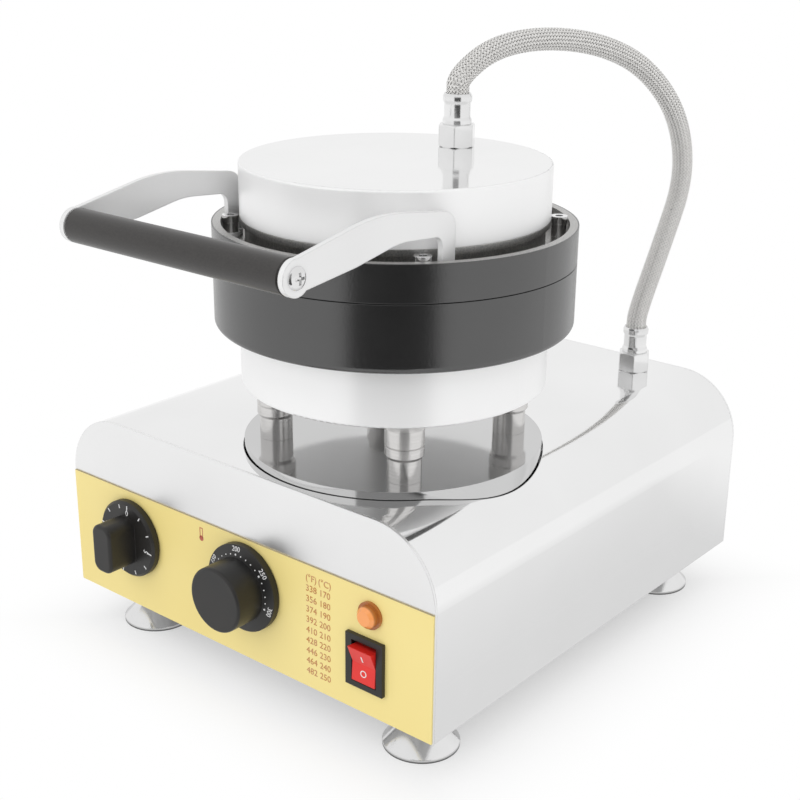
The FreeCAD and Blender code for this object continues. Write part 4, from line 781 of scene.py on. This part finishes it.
class Dial:
    """Face of a dial's skirt, with directions by an angle from the right, anticlockwise."""

    def __init__(self, node, skirt, slope):
        low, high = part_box(node)
        centre = middle(node)
        self.centre = Vector((centre.x, high.y - skirt, centre.z))
        self.radius = (high.x - low.x) / 2
        self.slope = slope

    def spot(self, angle, radius):
        """Place on the face, and its directions right and up for letters that stand outwards."""
        turn = math.radians(angle)
        outward = Vector((math.cos(turn), 0.0, math.sin(turn)))
        right = Vector((math.sin(turn), 0.0, -math.cos(turn)))
        up = Vector((outward.x, self.slope, outward.z)).normalized()
        sink = (self.radius - radius) * self.slope
        return self.centre + outward * radius + Vector((0.0, -sink, 0.0)), right, up


def timer_marks():
    """Minutes round the timer's skirt, with a long tick at each and short ones between."""
    dial = Dial("timer_knob", skirt=5.0 * MM, slope=0.0)
    number_height, number_radius = 3.4 * MM, 17.4 * MM
    tick_width, long_tick, short_tick, tick_radius = 0.7 * MM, 3.2 * MM, 2.4 * MM, 20.9 * MM
    first, step, ticks = 84.0, 93.0, 3
    marks = []
    for index, minutes in enumerate((0, 5, 10, 15)):
        angle = first - step * index
        marks.append(letters(str(minutes), number_height, *dial.spot(angle, number_radius)))
        for part in range(ticks):
            length = long_tick if part == 0 else short_tick
            marks.append(stroke(tick_width, length, *dial.spot(angle - step / ticks * part, tick_radius)))
    printed("timer_marks", marks, WHITE_INK, "timer_dial")


def thermostat_marks():
    """Degrees round the thermostat's skirt, with a large dot at each and small ones between."""
    skirt_fall, skirt_width = 1.6, 7.0
    dial = Dial("thermostat_knob", skirt=4.0 * MM, slope=skirt_fall / skirt_width)
    number_height, number_radius = 2.9 * MM, 23.6 * MM
    large_dot, small_dot, dot_radius = 0.6 * MM, 0.4 * MM, 20.6 * MM
    lowest, highest, apart = 50, 300, 50
    first, step, dots = 263.0, 56.0, 5
    marks = []
    for index, degrees in enumerate(range(lowest, highest + 1, apart)):
        angle = first - step * index
        marks.append(letters(str(degrees), number_height, *dial.spot(angle, number_radius)))
        marks.append(dot(large_dot, *dial.spot(angle, dot_radius)))
        if degrees < highest:
            for part in range(1, dots):
                marks.append(dot(small_dot, *dial.spot(angle - step / dots * part, dot_radius)))
    printed("thermostat_marks", marks, WHITE_INK, "thermostat_dial")


def panel_table():
    """Fahrenheit beside Celsius, in steps of ten."""
    top = 95.5 * MM
    row_step = 6.3 * MM
    number_height = 3.8 * MM
    columns = (57.8 * MM, 67.6 * MM)
    coolest, hottest, apart = 170, 250, 10
    rows = [("(\u00b0F)", "(\u00b0C)")]
    for celsius in range(coolest, hottest + 1, apart):
        fahrenheit = round(celsius * 9 / 5 + 32)
        rows.append((str(fahrenheit), str(celsius)))
    meshes = []
    for index, row in enumerate(rows):
        for side, words in zip(columns, row):
            place = Vector((side, PANEL_FACE, top - row_step * index))
            meshes.append(letters(words, number_height, place, ACROSS, UPWARD))
    printed("panel_table", meshes, PRINT_INK, "base")


def thermometer_sign():
    """Small thermometer: a bulb, two lines for its stem and a line across the top."""
    place = Vector((-27.8 * MM, PANEL_FACE, 95.5 * MM))
    bulb_radius = 1.7 * MM
    line_width = 0.5 * MM
    stem_length, stem_gap = 6.0 * MM, 1.0 * MM
    top_width = 2.5 * MM
    end = UPWARD * 3.2 * MM
    meshes = [dot(bulb_radius, place - end, ACROSS, UPWARD)]
    for side in (-stem_gap, stem_gap):
        meshes.append(stroke(line_width, stem_length, place + ACROSS * side, ACROSS, UPWARD))
    meshes.append(stroke(top_width, line_width, place + end, ACROSS, UPWARD))
    printed("thermometer_sign", meshes, RED_INK, "base")


def switch_marks():
    """I on the upper face and O on the lower face of the rocker, as they lie at rest."""
    mark_height, line_width = 4.0 * MM, 0.8 * MM
    pivot_depth = 1.0 * MM
    bezel = middle("rocker_housing")
    pivot = Vector((bezel.x, PANEL_FACE + pivot_depth, bezel.z))
    upper_spot = pivot + Vector((0.0, -4.6 * MM, 3.4 * MM))
    upper_up = Vector((0.0, -0.37, 0.93)).normalized()
    lower_spot = pivot + Vector((0.0, -3.4 * MM, -6.0 * MM))
    lower_up = Vector((0.0, 0.06, 1.0)).normalized()
    line = stroke(line_width, mark_height, upper_spot, ACROSS, upper_up)
    ring = letters("O", mark_height, lower_spot, ACROSS, lower_up)
    printed("switch_marks", [line, ring], WHITE_INK, "power_rocker")


timer_marks()
thermostat_marks()
panel_table()
thermometer_sign()
switch_marks()


# Studio: pale floor, white surroundings, a dark card for reflections, and large soft lamps

def floor():
    """Pale floor that takes the shadow round the casing and turns into plain white away from it, with a
    painted shadow near the casing that only mirrors show.
    """
    reach = 12.0
    shadow_start, shadow_end = -0.05, 0.06
    white_in_shadow = 0.35
    mirror_start, mirror_end = 0.02, 0.22
    painted_shadow_in_mirrors, mirrored_far = 0.74, 0.97
    low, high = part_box("casing_wrap")
    corners = [(-reach, -reach, 0), (reach, -reach, 0), (reach, reach, 0), (-reach, reach, 0)]
    mesh = bpy.data.meshes.new("floor")
    mesh.from_pydata(corners, [], [(0, 1, 2, 3)])
    finish = Finish("pale_floor", Roughness=0.9, Specular_IOR_Level=0.1, Base_Color=(*grey(0.95), 1.0))
    beside, behind, _ = finish.split()
    beyond_x = (beside - (low.x + high.x) / 2).math("ABSOLUTE") - (high.x - low.x) / 2
    beyond_y = (behind - (low.y + high.y) / 2).math("ABSOLUTE") - (high.y - low.y) / 2
    outside = beyond_x.math("MAXIMUM", beyond_y)
    whiteness = finish.blend(outside.smooth(shadow_start, shadow_end), white_in_shadow, 1.0)
    glossy_ray = finish.add("ShaderNodeLightPath", None, None, "Is Glossy Ray")
    # Painted shadow in reflections: mirrors see the floor's white glow dimmed to 0.74 near the casing, rising
    # to 0.97 away from it.
    mirrored = finish.blend(outside.smooth(mirror_start, mirror_end), painted_shadow_in_mirrors, mirrored_far)
    white = finish.add("ShaderNodeEmission", None, {"Strength": finish.blend(glossy_ray, 1.0, mirrored)})
    shaded = Value(finish, finish.shader.outputs["BSDF"])
    mixed = finish.add("ShaderNodeMixShader", None, [whiteness, shaded, white])
    output = finish.tree.nodes["Material Output"]
    finish.tree.links.new(mixed.socket, output.inputs["Surface"])
    mesh.materials.append(finish.material)
    new_object("floor", mesh)


def world():
    """Surroundings that are white to the camera, nearly white in mirrors and dimmer as light."""
    seen, in_mirrors, as_light = 1.0, 0.92, 0.65
    surround = bpy.data.worlds.new("studio")
    scene.world = surround
    surround.use_nodes = True
    graph = Graph(surround.node_tree)
    background = surround.node_tree.nodes["Background"]
    path = graph.make("ShaderNodeLightPath")
    rays = ("Is Camera Ray", "Is Glossy Ray", "Is Transmission Ray")
    camera_ray, glossy_ray, through_ray = (Value(graph, path.outputs[name]) for name in rays)
    mirrored = graph.blend(glossy_ray.math("MAXIMUM", through_ray), as_light, in_mirrors)
    strength = graph.blend(camera_ray, mirrored, seen)
    surround.node_tree.links.new(strength.socket, background.inputs["Strength"])
    background.inputs["Color"].default_value = (1.0, 1.0, 1.0, 1.0)


def dark_card():
    """Dark card on the floor and behind the camera that only reflections show."""
    near, far = 0.5, 1.6
    bottom, top = 1.0 * MM, 1.3
    left_spread, right_spread = math.radians(27), math.radians(25)
    dark, pale, pale_height = (*grey(0.07), 1.0), (*grey(0.34), 1.0), 0.7
    towards = math.atan2(scene.camera.location.y - HEAD.y, scene.camera.location.x - HEAD.x)
    corners = []
    for radius, height in ((near, bottom), (far, bottom), (far, top)):
        for angle in (towards - left_spread, towards + right_spread):
            corners.append((HEAD.x + radius * math.cos(angle), HEAD.y + radius * math.sin(angle), height))
    mesh = bpy.data.meshes.new("dark_card")
    mesh.from_pydata(corners, [], [(0, 1, 3, 2), (2, 3, 5, 4)])
    finish = Finish("card_grey", Base_Color=(*grey(0.0), 1.0), Roughness=1.0, Specular_IOR_Level=0.0,
                    Emission_Strength=1.0)
    # The card glows grey, 0.07 at the floor rising to 0.34 at pale_height: painted shade that only mirrors
    # show.
    shade = finish.mix(finish.split()[2].smooth(0.0, pale_height), dark, pale)
    mesh.materials.append(finish.feed(Emission_Color=shade))
    card = new_object("dark_card", mesh)
    for rays in ("camera", "diffuse", "transmission", "shadow"):
        setattr(card, "visible_" + rays, False)


def lamp(name, place, size, power):
    """Square soft lamp that shines at the middle of the object and shows in no mirror."""
    target = Vector((0.0, 0.0, 0.2))
    data = bpy.data.lights.new(name, "AREA")
    data.shape = "SQUARE"
    data.size = size
    data.energy = power
    item = new_object(name, data)
    item.location = place
    aim = target - Vector(place)
    item.rotation_euler = aim.to_track_quat("-Z", "Y").to_euler()
    item.visible_glossy = False


floor()
dark_card()
world()
lamp("key_lamp", (-0.6, -2.15, 2.0), size=2.6, power=27.0)
lamp("fill_lamp", (2.2, -0.9, 1.8), size=2.2, power=12.0)
lamp("rear_lamp", (0.4, 2.0, 2.2), size=2.4, power=12.0)

scene.view_settings.view_transform = "Standard"
